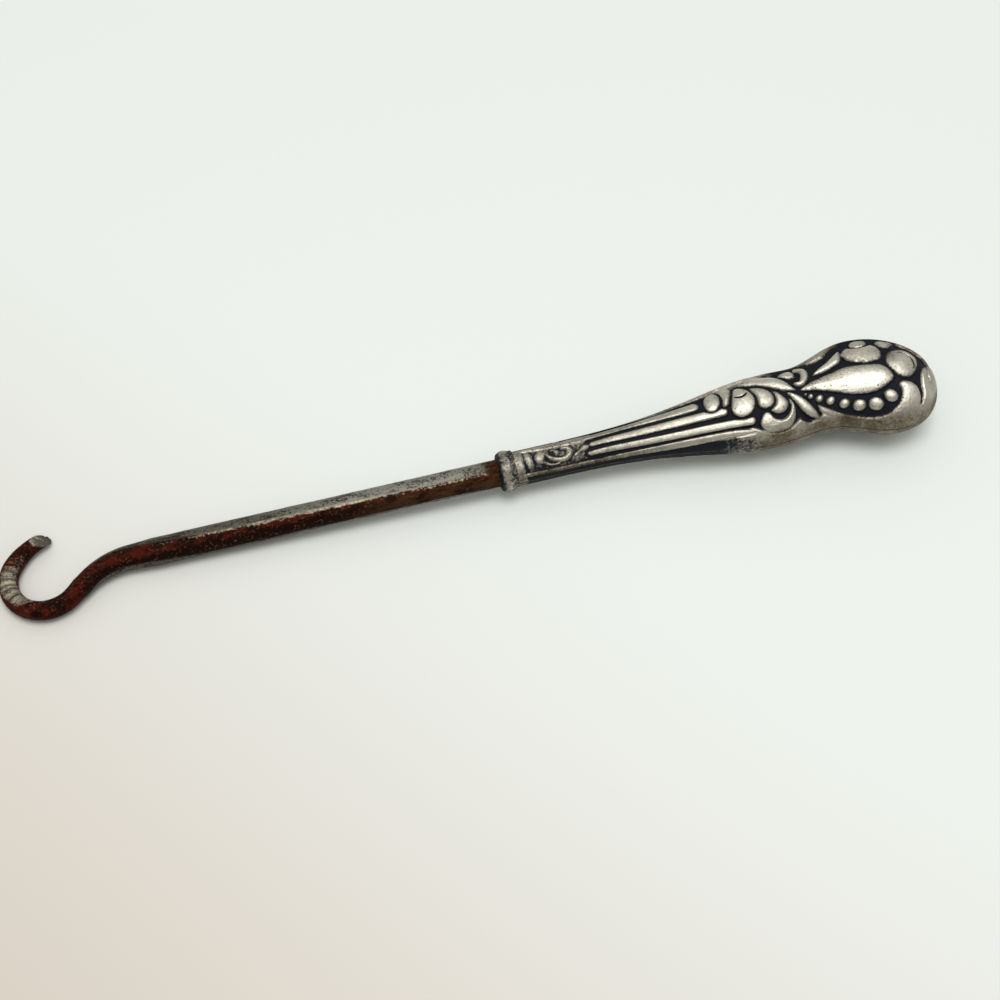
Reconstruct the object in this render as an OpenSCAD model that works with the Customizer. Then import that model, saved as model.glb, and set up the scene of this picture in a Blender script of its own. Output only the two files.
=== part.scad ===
// Button hook: a forged steel hook set with pitch in a hollow handle of two die-struck silver halves.
// X runs along the shank from the hook to the butt, and Z comes out of the ornamented front.
// The origin is the middle of the hook's throat, on the shank's axis. Millimetres and degrees.

/* [Hook] */
// Radius of the bowl, at the middle of the rod
bowl_r = 5.6; // [4.5:0.1:8]
// Distance from the shank's axis to the bowl's centre
bowl_drop = 0.2; // [0:0.1:2]
// Turn of the bowl, from the crank to the lip
bowl_turn = 164; // [140:1:175]
// Radius of the lip, where the bowl opens towards the tip
lip_r = 9.4; // [6:0.2:14]
// Turn of the lip
lip_turn = 43; // [20:1:50]
// Angle between the shank and the run down to the bowl
crank_angle = 40; // [30:1:50]
// Radius of the bend between the shank and that run
crank_r = 11.5; // [8:0.5:16]
// Diameter of the rod round the bowl
bowl_d = 3; // [2.4:0.1:3.6]
// Diameter of the rod at the tip
tip_d = 2.2; // [1.2:0.1:2.6]
// Length of the ground end at the tip
tip_grind = 0.8; // [0.3:0.1:1.5]
// Lean of the facet ground on the tip, from square to the rod
facet_lean = 50; // [30:1:60]
// How far behind the rod's end the facet meets its underside
facet_back = 0.5; // [0:0.1:1]
// Length of the straight stretch over which the shank starts to taper
taper_run = 3; // [1:0.5:8]

/* [Shank and tang] */
// Diameter of the straight shank
shank_d = 4.4; // [3.6:0.1:5.4]
// Distance from the hook's throat to the handle's mouth
mouth_x = 71.3; // [50:0.1:100]
// Length of full shank that sits inside the mouth
shank_seat = 4; // [2:0.5:7]
// Diameter of the tang
tang_d = 3; // [2:0.1:3.4]
// Length of the tang, from the mouth to its point
tang_len = 46; // [25:1:56]
// Length of the tang's point
tang_point = 6; // [3:0.5:10]

/* [Handle] */
// Length of the handle, from its mouth to the butt
handle_len = 71.4; // [68:0.1:80]
// Wall of the struck silver
wall = 0.45; // [0.35:0.05:0.7]
// Length of the straight neck
neck_len = 4; // [3:0.5:8]
// Half width at the shoulder
shoulder_half = 6.3; // [5.6:0.1:7]
// Distance from the mouth to the shoulder
shoulder_at = 44; // [42:0.5:46]
// How late the neck flares into the shoulder
flare_power = 1.7; // [1:0.1:2.5]
// Half width at the waist, on the leafy side
far_waist_half = 6.2; // [5.4:0.1:7]
// Distance from the mouth to the waist, on the leafy side
far_waist_at = 48; // [47:0.5:50]
// Half width at the pear's fullest, on the leafy side
far_pear_half = 8.9; // [8:0.1:10]
// Distance from the mouth to the pear's fullest, on the leafy side
far_pear_at = 59; // [57:0.5:61]
// Half width at the waist, on the scroll side
near_waist_half = 5.6; // [5:0.1:6.5]
// Distance from the mouth to the waist, on the scroll side
near_waist_at = 52; // [50:0.5:54]
// Half width at the pear's fullest, on the scroll side
near_pear_half = 8.6; // [8:0.1:10]
// Distance from the mouth to the pear's fullest, on the scroll side
near_pear_at = 63; // [61:0.5:65]
// Roundness of the butt, on the leafy side
far_butt_power = 1.9; // [1.6:0.1:2.6]
// Roundness of the butt, on the scroll side
near_butt_power = 2.4; // [1.8:0.1:2.8]
// Thickness of the shoulder, as a share of its width
shoulder_flat_ratio = 0.82; // [0.7:0.02:1]
// Thickness of the pear, as a share of its width
pear_flat_ratio = 0.72; // [0.6:0.02:0.9]
// Thickness of the solder between the halves
seam = 0.2; // [0.1:0.05:0.4]

/* [Ornament] */
// Length of one unit of the die's drawing, in which the ornament's places and sizes are written
die_unit = 1; // [0.9:0.02:1.1]
// Depth of the sunk ground between the reeds of the neck
neck_ground = 0.26; // [0:0.02:0.3]
// Depth of the sunk ground between the ornaments of the shoulder and the pear
pear_ground = 0.66; // [0.3:0.02:0.7]
// Half width of a reed, as an angle round the handle
reed_half_angle = 14; // [8:1:15]
// Distance from the mouth to where the reeds start
reed_start = 13; // [8:1:20]
// Radius of the largest bead
bead_r = 1.25; // [0.8:0.05:1.3]

/* [Collar] */
// How far the bead stands out from the neck
collar_rise = 0.75; // [0.6:0.05:1]
// Length of the collar
collar_len = 2.6; // [2:0.1:4]
// Radius of the bead's section
collar_bead_r = 1.1; // [0.8:0.05:1.2]
// Thickness of the sleeve behind the bead
collar_sleeve = 0.35; // [0.2:0.05:0.5]
// Thickness of the lip that closes on the shank
collar_lip = 0.4; // [0.3:0.05:0.8]

/* [Fits] */
// Gap between the shank and what it passes through
shank_gap = 0.1; // [0.05:0.01:0.2]
// Solder gap between the collar and the neck
collar_gap = 0.05; // [0.03:0.01:0.1]
// Gap between the pitch and what it fills
pitch_gap = 0.05; // [0.03:0.01:0.1]
// How far the forged taper starts under the shank's radius
forge_step = 0.05; // [0.03:0.01:0.1]

/* [Hidden] */
$fn = 96;

steel = "#5b4a44";
silver = "#b9b2a2";
solder = "#8f8a80";
pitch = "#2b1d14";

shank_r = shank_d / 2;
tang_r = tang_d / 2;
neck_half = shank_r + shank_gap + wall;
crank_x = (bowl_r + crank_r * (1 - cos(crank_angle)) + bowl_drop * cos(crank_angle)) / sin(crank_angle);

// The hook's rod, from the shank to the tip

rod_sides = 20;
rod_overlap = 1;
rod_step = 0.9;
bowl_start = crank_angle - 90;
bowl_end = bowl_start - bowl_turn;
bowl_c = [0, -bowl_drop];
lip_c = bowl_c + (bowl_r - lip_r) * [cos(bowl_end), sin(bowl_end)];
taper_x = crank_x + taper_run;

// Points at even steps on an arc, as [x, y, heading]; the heading is where the rod runs to
function arc_points(c, r, from, turn, lead) =
    let (n = ceil(abs(turn) * PI / 180 * r / rod_step))
    [for (i = [0 : n - 1]) let (a = from + turn * i / n) [c.x + r * cos(a), c.y + r * sin(a), a + lead]];

shank_points = [[taper_x + rod_overlap, 0, 180], [taper_x, 0, 180]];
crank_points = arc_points([crank_x, -crank_r], crank_r, 90, crank_angle, 90);
bowl_points = arc_points(bowl_c, bowl_r, bowl_start, -bowl_turn, -90);
rod_path = concat(
    shank_points,
    crank_points,
    bowl_points,
    arc_points(lip_c, lip_r, bowl_end, -lip_turn, -90),
    [[lip_c.x + lip_r * cos(bowl_end - lip_turn), lip_c.y + lip_r * sin(bowl_end - lip_turn),
      bowl_end - lip_turn - 90]]
);

function step_len(p, q) = norm([q.x - p.x, q.y - p.y]);
function run_to(i) = i == 0 ? 0 : run_to(i - 1) + step_len(rod_path[i - 1], rod_path[i]);
rod_runs = [for (i = [0 : len(rod_path) - 1]) run_to(i)];
rod_len = rod_runs[len(rod_runs) - 1];
rod_start_r = shank_r - forge_step;
bowl_from = len(shank_points) + len(crank_points);
// The rod is drawn down to the bowl's thickness over the crank, and to the tip's over the lip
function rod_r(run) = lookup(run, [
    [rod_overlap, rod_start_r],
    [rod_runs[bowl_from], bowl_d / 2],
    [rod_runs[bowl_from + len(bowl_points)], bowl_d / 2],
    [rod_len, tip_d / 2]
]);

function rod_ring(p, r) =
    [for (j = [0 : rod_sides - 1]) let (a = 360 * j / rod_sides)
        [p.x - r * cos(a) * sin(p.z), p.y + r * cos(a) * cos(p.z), r * sin(a)]];

tip_ratio = 0.6;
tip_point = let (p = rod_path[len(rod_path) - 1])
    [p.x + tip_grind * cos(p.z), p.y + tip_grind * sin(p.z), p.z];
rod_rings = concat(
    [for (i = [0 : len(rod_path) - 1]) rod_ring(rod_path[i], rod_r(rod_runs[i]))],
    [rod_ring(tip_point, tip_ratio * tip_d / 2)]
);

// A closed tube over rings that all have the same count of points
module tube(rings) {
    n = len(rings[0]);
    last = (len(rings) - 1) * n;
    polyhedron(
        points = [for (ring = rings) for (p = ring) p],
        faces = concat(
            [[for (j = [0 : n - 1]) j]],
            [for (i = [0 : len(rings) - 2]) for (j = [0 : n - 1]) let (k = (j + 1) % n)
                [i * n + j, (i + 1) * n + j, (i + 1) * n + k]],
            [for (i = [0 : len(rings) - 2]) for (j = [0 : n - 1]) let (k = (j + 1) % n)
                [i * n + j, (i + 1) * n + k, i * n + k]],
            [[for (j = [n - 1 : -1 : 0]) last + j]]
        )
    );
}

// The handle's outline, by the distance s from the mouth

function clamp01(t) = max(0, min(1, t));
function ease(a, b, t) = a + (b - a) * (1 - cos(180 * clamp01(t))) / 2;
function flare(s) =
    ease(neck_half, shoulder_half, pow(clamp01((s - neck_len) / (shoulder_at - neck_len)), flare_power));
function butt(s, at, half, power) =
    half * pow(max(0, 1 - pow(clamp01((s - at) / (handle_len - at)), power)), 1 / power);
function side_half(s, waist_at, waist_half, pear_at, pear_half, power) =
    s < shoulder_at ? flare(s) :
    s < waist_at ? ease(shoulder_half, waist_half, (s - shoulder_at) / (waist_at - shoulder_at)) :
    s < pear_at ? ease(waist_half, pear_half, (s - waist_at) / (pear_at - waist_at)) :
    butt(s, pear_at, pear_half, power);
function far_half(s) =
    side_half(s, far_waist_at, far_waist_half, far_pear_at, far_pear_half, far_butt_power);
function near_half(s) =
    side_half(s, near_waist_at, near_waist_half, near_pear_at, near_pear_half, near_butt_power);
function half_width(s) = (far_half(s) + near_half(s)) / 2;
function middle_y(s) = (far_half(s) - near_half(s)) / 2;
function flatness(s) =
    s < shoulder_at ? ease(1, shoulder_flat_ratio, (s - neck_len) / (shoulder_at - neck_len)) :
    ease(shoulder_flat_ratio, pear_flat_ratio, (s - shoulder_at) / (far_pear_at - shoulder_at));

// Stations along the handle: even steps up to the pear, then closer and closer to the butt

neck_step = 2;
ornament_step = 0.6;
butt_stations = 18;
even_past_pear = 1;
even_end = far_pear_at + even_past_pear;
ornament_reach = 12;
ornament_from = shoulder_at - ornament_reach;
function even_steps(from, to, step) =
    let (n = ceil((to - from) / step))
    [for (i = [0 : n - 1]) from + (to - from) * i / n];
function butt_steps(n) = [for (i = [0 : n - 1]) even_end + (handle_len - even_end) * sin(90 * i / n)];
outer_stations = concat(
    even_steps(0, ornament_from, neck_step),
    even_steps(ornament_from, even_end, ornament_step),
    butt_steps(butt_stations)
);
inner_stations = [for (i = [0 : 2 : len(outer_stations) - 1]) outer_stations[i]];
inner_columns = 12;
columns_ratio = 3;
outer_columns = columns_ratio * inner_columns;

// Ornament: a form is a row of [distance along, angle round from the front, half width]; the angle grows to
// the leafy side. The shoulder's and the pear's forms are set out from where shoulder and pear are fullest.

function on_shoulder(place) = [shoulder_at + die_unit * place[0], place[1], die_unit * place[2]];
function on_pear(place) = [far_pear_at + die_unit * place[0], place[1], die_unit * place[2]];

petals = [
    [[-9.2, 29, 1.1], [-9.5, 11, 1.15]],
    [[-7.1, 36, 0.9], [-6.8, 13, 1]],
    [[-4.5, 16, 1.3], [-5, -8, 1.8]],
    [[-2.6, 18, 0.7], [-1.5, 4, 1.2], [-1.3, -8, 1.2]],
    [[0.4, 0, 0.6], [1, -14, 1], [0.6, -22, 1.1]]
];
volute = [[-1.2, -45, 1.8], [0.4, -47, 2.1], [2.3, -38, 0.8], [2.5, -20, 0.4]];
arch_leaf = [[-4, 48, 0.5], [-1.5, 40, 1.1], [1, 28, 1.25], [2.8, 10, 0.8], [4, -2, 0.3]];
far_leaf = [[-3.5, 57, 0.5], [0.5, 55, 0.9], [2.5, 49, 0.4]];
lens_leaf = [[2.5, -3, 0.3], [4.2, -20, 0.9], [5.3, -40, 0.9], [6.3, -60, 0.3]];
curl = [[5.4, 44, 0.4], [6.6, 32, 0.6], [6.3, 16, 0.6], [5, 6, 0.5]];
cartouche = [[-10.2, -4, 0.3], [-6, -9, 1.5], [-1.5, -14.5, 2.7], [1.6, -13, 2.4], [3.8, -15, 0.7]];
upper_lobe = [[0.6, 27, 2.6], [1.3, 27, 2.6]];
tucked_lobe = [[1.2, 52, 1.3], [2, 52, 1.3]];
dim_lobe = [[4.8, 52, 1.2], [5.6, 42, 1.2]];
boss = [[6.6, 3, 2.4], [7.1, 14, 2.4]];
sliver_leaf = [[-7.6, 14, 0.2], [-5, 18, 0.8], [-3.2, 24, 0.9], [-2.2, 34, 0.3]];
scroll_head = [[5.2, -27, 0.9], [6.2, -38, 1.5], [5.4, -52, 1.6]];
end_leaf = [[12, 5, 0.4], [10, -14, 0.9], [9.3, -32, 0.8], [8, -52, 0.4]];
bead_places = [[2.9, -38], [0.3, -48], [-2.2, -50], [-4.3, -46], [-6.2, -37], [-7.8, -28]];
bead_shrink_ratio = 0.87;

function set_out_beads() =
    [for (i = [0 : len(bead_places) - 1]) [concat(bead_places[i], bead_r * pow(bead_shrink_ratio, i))]];
shoulder_forms = concat(petals, [volute, arch_leaf, far_leaf, lens_leaf, curl]);
pear_forms = concat(
    [cartouche, upper_lobe, tucked_lobe, dim_lobe, boss, sliver_leaf, scroll_head, end_leaf],
    set_out_beads()
);
forms = concat(
    [for (form = shoulder_forms) [for (place = form) on_shoulder(place)]],
    [for (form = pear_forms) [for (place = form) on_pear(place)]]
);
form_fullness = 3;
reed_angles = [26, -6, -36];
reed_ends = [for (before = [11, 7.2, 3.7]) shoulder_at - die_unit * before];
reed_end_round = 1.5;
panel_near_angle = -52;
panel_far_angle = 46;
edge_soft_angle = 7;

function arc_mm(s, angle) = half_width(s) * angle * PI / 180;

// Height of a form between two of its places: 1 along its crest and 0 at its edge
function swell(s, a, p, q) =
    let (
        along = [q[0] - p[0], arc_mm(s, q[1] - p[1])],
        here = [s - p[0], arc_mm(s, a - p[1])],
        share = along * along == 0 ? 0 : clamp01(here * along / (along * along)),
        across = norm(here - along * share) / (p[2] + share * (q[2] - p[2]))
    )
    max(0, 1 - pow(across, form_fullness));
function form_height(s, a, form) =
    max([for (i = [0 : max(0, len(form) - 2)]) swell(s, a, form[i], form[min(i + 1, len(form) - 1)])]);
function reed(s, a, i) =
    sqrt(max(0, 1 - pow((a - reed_angles[i]) / reed_half_angle, 2)))
    * clamp01((s - reed_start) / reed_end_round) * clamp01((reed_ends[i] - s) / reed_end_round);

// The plain rims beside the ornament
near_edge_places = concat(
    [[0, panel_near_angle]],
    [for (place = [[-3.6, -48, 0], [-2, -66, 0], [6, -66, 0]]) on_shoulder(place)],
    [for (place = [[-8, -42, 0], [-5.5, -58, 0], [-1.8, -69, 0], [1.6, -63, 0], [4.2, -44, 0],
        [5.4, -30, 0], [8, -36, 0], [9.6, -16, 0], [11.2, 4, 0]]) on_pear(place)]
);
far_edge_places = concat(
    [[0, panel_far_angle]],
    [for (place = [[-8, 54, 0], [-4, 66, 0], [2, 66, 0], [6, 52, 0]]) on_shoulder(place)],
    [for (place = [[-6.5, 42, 0], [-4, 44, 0], [-1, 66, 0], [1, 72, 0], [7, 68, 0], [9.5, 50, 0],
        [11.2, 16, 0]]) on_pear(place)]
);
function near_edge(s) = lookup(s, near_edge_places);
function far_edge(s) = lookup(s, far_edge_places);
function rim(s, a) =
    max(clamp01((near_edge(s) - a) / edge_soft_angle), clamp01((a - far_edge(s)) / edge_soft_angle));

function raised(s, a) = max(concat(
    [rim(s, a), clamp01(1 - (s - neck_len) / reed_end_round)],
    [for (form = forms) form_height(s, a, form)],
    [for (i = [0 : len(reed_angles) - 1]) reed(s, a, i)]
));

// The ground lies shallow on the thin neck and deepens towards the shoulder
deepen_from = shoulder_at - die_unit * 18;
deepen_to = shoulder_at - die_unit * 6;
function ground(s) = ease(neck_ground, pear_ground, (s - deepen_from) / (deepen_to - deepen_from));

// One struck half, front side up, with its flat edge at half the solder's thickness

function half_point(x, s, a, inset, sink) =
    let (
        w = half_width(s) - inset,
        t = half_width(s) * flatness(s) - inset,
        out = [sin(a) * t, cos(a) * w],
        y = middle_y(s) + w * sin(a) - sink * out[0] / norm(out),
        z = t * cos(a) - sink * out[1] / norm(out)
    )
    [x, y, max(0, z) * (t - seam / 2) / t + seam / 2];
function angle_of(j, columns) = -90 + 180 * j / columns;
function outer_ring(s) =
    [for (j = [0 : outer_columns]) let (a = angle_of(j, outer_columns))
        half_point(mouth_x + s, s, a, 0,
            abs(a) == 90 ? 0 : inset_share(s, ground(s)) * (1 - raised(s, a)))];

// A ring that lies inset from the outer skin, and further in behind the deep ground; past the pear it also
// draws in from the butt
side_power = 8;
function behind_ground(s, a) = (ground(s) - neck_ground) * (1 - pow(a / 90, side_power));
function inset_x(s, inset) = mouth_x + s - inset * clamp01((s - even_end) / (handle_len - even_end));
function inset_share(s, inset) = s <= even_end ? inset : inset * half_width(s) / half_width(even_end);
function inset_ring(s, inset) =
    [for (j = [0 : inner_columns]) let (a = angle_of(j, inner_columns), deep = inset + behind_ground(s, a))
        half_point(inset_x(s, deep), s, a, inset_share(s, deep), 0)];

// Triangles of a grid of rings that ends in a pole, seen from outside
function skin_faces(rows, columns, from, pole) = concat(
    [for (i = [0 : rows - 2]) for (j = [0 : columns - 1]) let (p = from + i * (columns + 1) + j)
        [p, p + columns + 2, p + columns + 1]],
    [for (i = [0 : rows - 2]) for (j = [0 : columns - 1]) let (p = from + i * (columns + 1) + j)
        [p, p + 1, p + columns + 2]],
    [for (j = [0 : columns - 1]) let (p = from + (rows - 1) * (columns + 1) + j) [p, p + 1, pole]]
);
function backwards(list) = [for (k = [len(list) - 1 : -1 : 0]) list[k]];
function turned(faces) = [for (f = faces) backwards(f)];

module struck_half() {
    outer = [for (s = outer_stations) outer_ring(s)];
    inner = [for (s = inner_stations) inset_ring(s, wall)];
    rows = len(outer);
    inner_rows = len(inner);
    inner_from = rows * (outer_columns + 1);
    pole = inner_from + inner_rows * (inner_columns + 1);
    inner_pole = pole + 1;
    function outer_edge(i, side) = i < rows ? i * (outer_columns + 1) + side * outer_columns : pole;
    function inner_edge(k, side) =
        k < inner_rows ? inner_from + k * (inner_columns + 1) + side * inner_columns : inner_pole;
    function rim_faces(k, side) = concat(
        [[outer_edge(2 * k, side), outer_edge(2 * k + 1, side), inner_edge(k, side)]],
        [[outer_edge(2 * k + 1, side), inner_edge(k + 1, side), inner_edge(k, side)]],
        2 * k + 1 == rows ? [] :
            [[outer_edge(2 * k + 1, side), outer_edge(2 * k + 2, side), inner_edge(k + 1, side)]]
    );
    near_rim = [for (k = [0 : inner_rows - 1]) each rim_faces(k, 0)];
    far_rim = turned([for (k = [0 : inner_rows - 1]) each rim_faces(k, 1)]);
    mouth_rim = [for (k = [0 : inner_columns - 1]) concat(
        [for (j = [columns_ratio : -1 : 0]) columns_ratio * k + j],
        [inner_from + k, inner_from + k + 1]
    )];
    polyhedron(
        points = concat(
            [for (ring = outer) for (p = ring) p],
            [for (ring = inner) for (p = ring) p],
            [[mouth_x + handle_len, 0, seam / 2], [mouth_x + handle_len - wall, 0, seam / 2]]
        ),
        faces = concat(
            skin_faces(rows, outer_columns, 0, pole),
            turned(skin_faces(inner_rows, inner_columns, inner_from, inner_pole)),
            near_rim,
            far_rim,
            mouth_rim
        )
    );
}

// A tapered solid of the tang, grown all round by a gap
tang_tip_ratio = 0.35;
module tang(gap) {
    rotate([0, 90, 0]) {
        cylinder(h = tang_len - tang_point, r = tang_r + gap);
        translate([0, 0, tang_len - tang_point])
            cylinder(h = tang_point + gap, r1 = tang_r + gap, r2 = tang_r * tang_tip_ratio + gap);
    }
}

// What the grindstone takes off the tip
module tip_waste() {
    reach = 3 * tip_d;
    translate([tip_point.x, tip_point.y, 0])
        rotate([0, 0, tip_point.z])
            translate([-facet_back, 0, -tip_d / 2])
                rotate([0, -facet_lean, 0])
                    translate([0, -reach / 2, -reach / 2])
                        cube(reach);
}

module hook_shank() {
    shoulder_len = shank_r;
    color(steel) {
        difference() {
            tube(rod_rings);
            tip_waste();
        }
        translate([taper_x, 0, 0])
            rotate([0, 90, 0])
                cylinder(h = mouth_x + shank_seat - taper_x, r = shank_r);
        translate([mouth_x + shank_seat, 0, 0])
            rotate([0, 90, 0])
                cylinder(h = shoulder_len, r1 = shank_r, r2 = tang_r);
        translate([mouth_x, 0, 0])
            tang(0);
    }
}

module front_shell() {
    color(silver)
        struck_half();
}

module back_shell() {
    color(silver)
        mirror([0, 0, 1])
            struck_half();
}

// The solder between the halves, along both edges and round the butt
module seam_solder() {
    function edge(stations, inset, side) =
        [for (s = stations) let (share = inset_share(s, inset))
            [inset_x(s, inset), middle_y(s) + side * (half_width(s) - share)]];
    butt_x = mouth_x + handle_len;
    color(solder)
        translate([0, 0, -seam / 2])
            linear_extrude(seam)
                polygon(concat(
                    edge(outer_stations, 0, 1),
                    [[butt_x, 0]],
                    backwards(edge(outer_stations, 0, -1)),
                    edge(inner_stations, wall, -1),
                    [[butt_x - wall, 0]],
                    backwards(edge(inner_stations, wall, 1))
                ));
}

// The bead ring over the neck, with a lip that closes on the shank
module mouth_collar() {
    neck_bore = neck_half + collar_gap;
    front = mouth_x - collar_lip;
    color(silver)
        translate([front, 0, 0])
            rotate([0, 90, 0])
                rotate_extrude()
                    difference() {
                        union() {
                            translate([neck_half + collar_rise - collar_bead_r, collar_bead_r])
                                circle(collar_bead_r);
                            translate([shank_r, collar_bead_r])
                                square([neck_bore + collar_sleeve - shank_r, collar_len - collar_bead_r]);
                        }
                        square([shank_r + shank_gap, collar_len]);
                        translate([0, collar_lip])
                            square([neck_bore, collar_len]);
                    }
}

// The pitch that fills the halves round the tang
module pitch_filling() {
    pitch_from = shank_seat + shank_d;
    inset = wall + pitch_gap;
    least_step = 1;
    stations = concat([pitch_from], [for (s = inner_stations) if (s > pitch_from + least_step) s]);
    rings = [for (s = stations) let (top = inset_ring(s, inset))
        concat(top, [for (j = [inner_columns : -1 : 0]) [top[j].x, top[j].y, -top[j].z]])];
    count = len(rings[0]);
    rows = len(rings);
    last = (rows - 1) * count;
    pole = rows * count;
    pole_point = [mouth_x + handle_len - inset, 0, 0];
    color(pitch)
        difference() {
            polyhedron(
                points = concat([for (ring = rings) for (p = ring) p], [pole_point]),
                faces = concat(
                    [[for (j = [count - 1 : -1 : 0]) j]],
                    [for (i = [0 : rows - 2]) for (j = [0 : count - 1]) let (k = (j + 1) % count)
                        [i * count + j, (i + 1) * count + k, (i + 1) * count + j]],
                    [for (i = [0 : rows - 2]) for (j = [0 : count - 1]) let (k = (j + 1) % count)
                        [i * count + j, i * count + k, (i + 1) * count + k]],
                    [for (j = [0 : count - 1]) [last + j, last + (j + 1) % count, pole]]
                )
            );
            translate([mouth_x, 0, 0])
                tang(pitch_gap);
        }
}

hook_shank();
front_shell();
back_shell();
seam_solder();
mouth_collar();
pitch_filling();
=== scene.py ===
# %% [markdown]
# # A button hook with a struck silver handle
# The real tool is a forged steel hook whose tang is set in pitch inside a hollow handle. Two thin silver
# halves, struck in the same die, are soldered edge to edge, and a bead ring closes the handle's mouth on
# the shank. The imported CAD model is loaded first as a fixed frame: it says where each piece is, and
# nothing here moves it.

# %% Load the frame
import math

import bpy
import numpy as np
from mathutils import Matrix, Vector, noise


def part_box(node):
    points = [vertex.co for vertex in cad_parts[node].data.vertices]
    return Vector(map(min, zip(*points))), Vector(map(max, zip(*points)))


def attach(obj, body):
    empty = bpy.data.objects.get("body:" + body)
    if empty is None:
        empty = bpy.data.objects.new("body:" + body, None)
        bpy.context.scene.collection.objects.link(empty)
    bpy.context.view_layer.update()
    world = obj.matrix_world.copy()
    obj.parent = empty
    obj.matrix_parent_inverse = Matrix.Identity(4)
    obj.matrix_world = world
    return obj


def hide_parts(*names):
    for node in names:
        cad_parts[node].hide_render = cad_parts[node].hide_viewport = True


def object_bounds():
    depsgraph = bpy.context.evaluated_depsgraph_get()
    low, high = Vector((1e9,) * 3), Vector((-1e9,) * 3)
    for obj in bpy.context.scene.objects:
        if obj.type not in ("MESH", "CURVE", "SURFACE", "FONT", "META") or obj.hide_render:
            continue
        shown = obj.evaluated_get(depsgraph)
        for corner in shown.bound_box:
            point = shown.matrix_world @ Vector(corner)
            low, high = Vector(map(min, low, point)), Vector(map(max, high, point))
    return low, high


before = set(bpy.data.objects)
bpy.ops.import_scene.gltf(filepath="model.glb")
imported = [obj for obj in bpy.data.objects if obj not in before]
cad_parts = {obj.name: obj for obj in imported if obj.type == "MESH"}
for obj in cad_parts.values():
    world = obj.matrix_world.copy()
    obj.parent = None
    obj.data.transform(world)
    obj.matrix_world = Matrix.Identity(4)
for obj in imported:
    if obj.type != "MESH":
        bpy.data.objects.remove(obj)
cad_box = [list(corner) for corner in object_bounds()]
print("nodes:", sorted(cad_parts))

# %% [markdown]
# ## The smooth form of the handle
# The die was first cut as a smooth hollow and the ornament was sunk into it afterwards, so the handle is
# made the same way: a smooth form first, then the relief. The sizes repeat those of the CAD part, in
# millimetres. The distance s runs from the handle's mouth to its butt, and the angle goes round from the
# middle of the front, positive to the leafy side.

# %% Sizes of the handle
MM = 0.001
mouth_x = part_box("front_shell")[0].x / MM
handle_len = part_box("front_shell")[1].x / MM - mouth_x
shank_r = 2.2
wall = 0.45
seam = 0.2
shank_gap = 0.1
neck_half = shank_r + shank_gap + wall
neck_len = 4.0
shoulder_half = 6.3
shoulder_at = 44.0
flare_power = 1.7
far_side = {"waist_at": 48.0, "waist_half": 6.2, "pear_at": 59.0, "pear_half": 8.9, "power": 1.9}
near_side = {"waist_at": 52.0, "waist_half": 5.6, "pear_at": 63.0, "pear_half": 8.6, "power": 2.4}
shoulder_flat_ratio = 0.82
pear_flat_ratio = 0.72
butt_from = 60.0


def ease(a, b, t):
    """A soft step from a to b as t goes from 0 to 1."""
    return a + (b - a) * (1 - np.cos(np.pi * np.clip(t, 0, 1))) / 2


def side_half(s, waist_at, waist_half, pear_at, pear_half, power):
    """Half the handle's width on one side."""
    along_neck = np.clip((s - neck_len) / (shoulder_at - neck_len), 0, 1)
    flare = ease(neck_half, shoulder_half, along_neck ** flare_power)
    waist = ease(shoulder_half, waist_half, (s - shoulder_at) / (waist_at - shoulder_at))
    pear = ease(waist_half, pear_half, (s - waist_at) / (pear_at - waist_at))
    share = np.clip((s - pear_at) / (handle_len - pear_at), 0, 1)
    butt = pear_half * np.clip(1 - share ** power, 0, 1) ** (1 / power)
    past_shoulder = np.where(s < waist_at, waist, np.where(s < pear_at, pear, butt))
    return np.where(s < shoulder_at, flare, past_shoulder)


def half_width(s):
    """Half the handle's whole width."""
    return (side_half(s, **far_side) + side_half(s, **near_side)) / 2


def middle_y(s):
    """How far the middle of the width lies to the leafy side."""
    return (side_half(s, **far_side) - side_half(s, **near_side)) / 2


def flatness(s):
    """The handle's thickness as a share of its width."""
    neck = ease(1, shoulder_flat_ratio, (s - neck_len) / (shoulder_at - neck_len))
    past_shoulder = (s - shoulder_at) / (far_side["pear_at"] - shoulder_at)
    pear = ease(shoulder_flat_ratio, pear_flat_ratio, past_shoulder)
    return np.where(s < shoulder_at, neck, pear)


def handle_points(s, angle, inset=0.0):
    """Points of the smooth front half, inset from its skin, and past the pear from its butt too."""
    share = np.where(s > butt_from, half_width(s) / half_width(butt_from), 1)
    draw_in = np.clip((s - butt_from) / (handle_len - butt_from), 0, 1)
    width = np.maximum(half_width(s) - inset * share, 0)
    thick = np.maximum(half_width(s) * flatness(s) - inset * share, 0)
    x = mouth_x + s - inset * draw_in
    y = middle_y(s) + width * np.sin(np.radians(angle))
    z = seam / 2 + np.maximum(thick - seam / 2, 0) * np.cos(np.radians(angle))
    return np.stack(np.broadcast_arrays(x, y, z), -1)


print("handle", round(handle_len, 2), "mm long from x =", round(mouth_x, 2))

# %% [markdown]
# ## The die's drawing
# The ornament is drawn on the unrolled front, as a die cutter would lay it out: leaves, petals and bosses
# are closed outlines of [s, angle] points, while reeds, scrolls and cuts are strokes of [s, angle, half
# width]. Shapes are laid in order, so a later one lies over an earlier one, as the petals do on the real
# handle. Heights are levels: 1 is the smooth form and 0 the sunk ground, and the ground's depth is set
# apart, because the thin neck can't be struck as deep as the pear.

# %% A fine net over the front half, closest where the ornament is finest
def round_the_butt(count):
    """Places s from the pear's middle to the butt, closer together towards the end."""
    return butt_from + (handle_len - butt_from) * np.sin(np.linspace(0, np.pi / 2, count))


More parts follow.
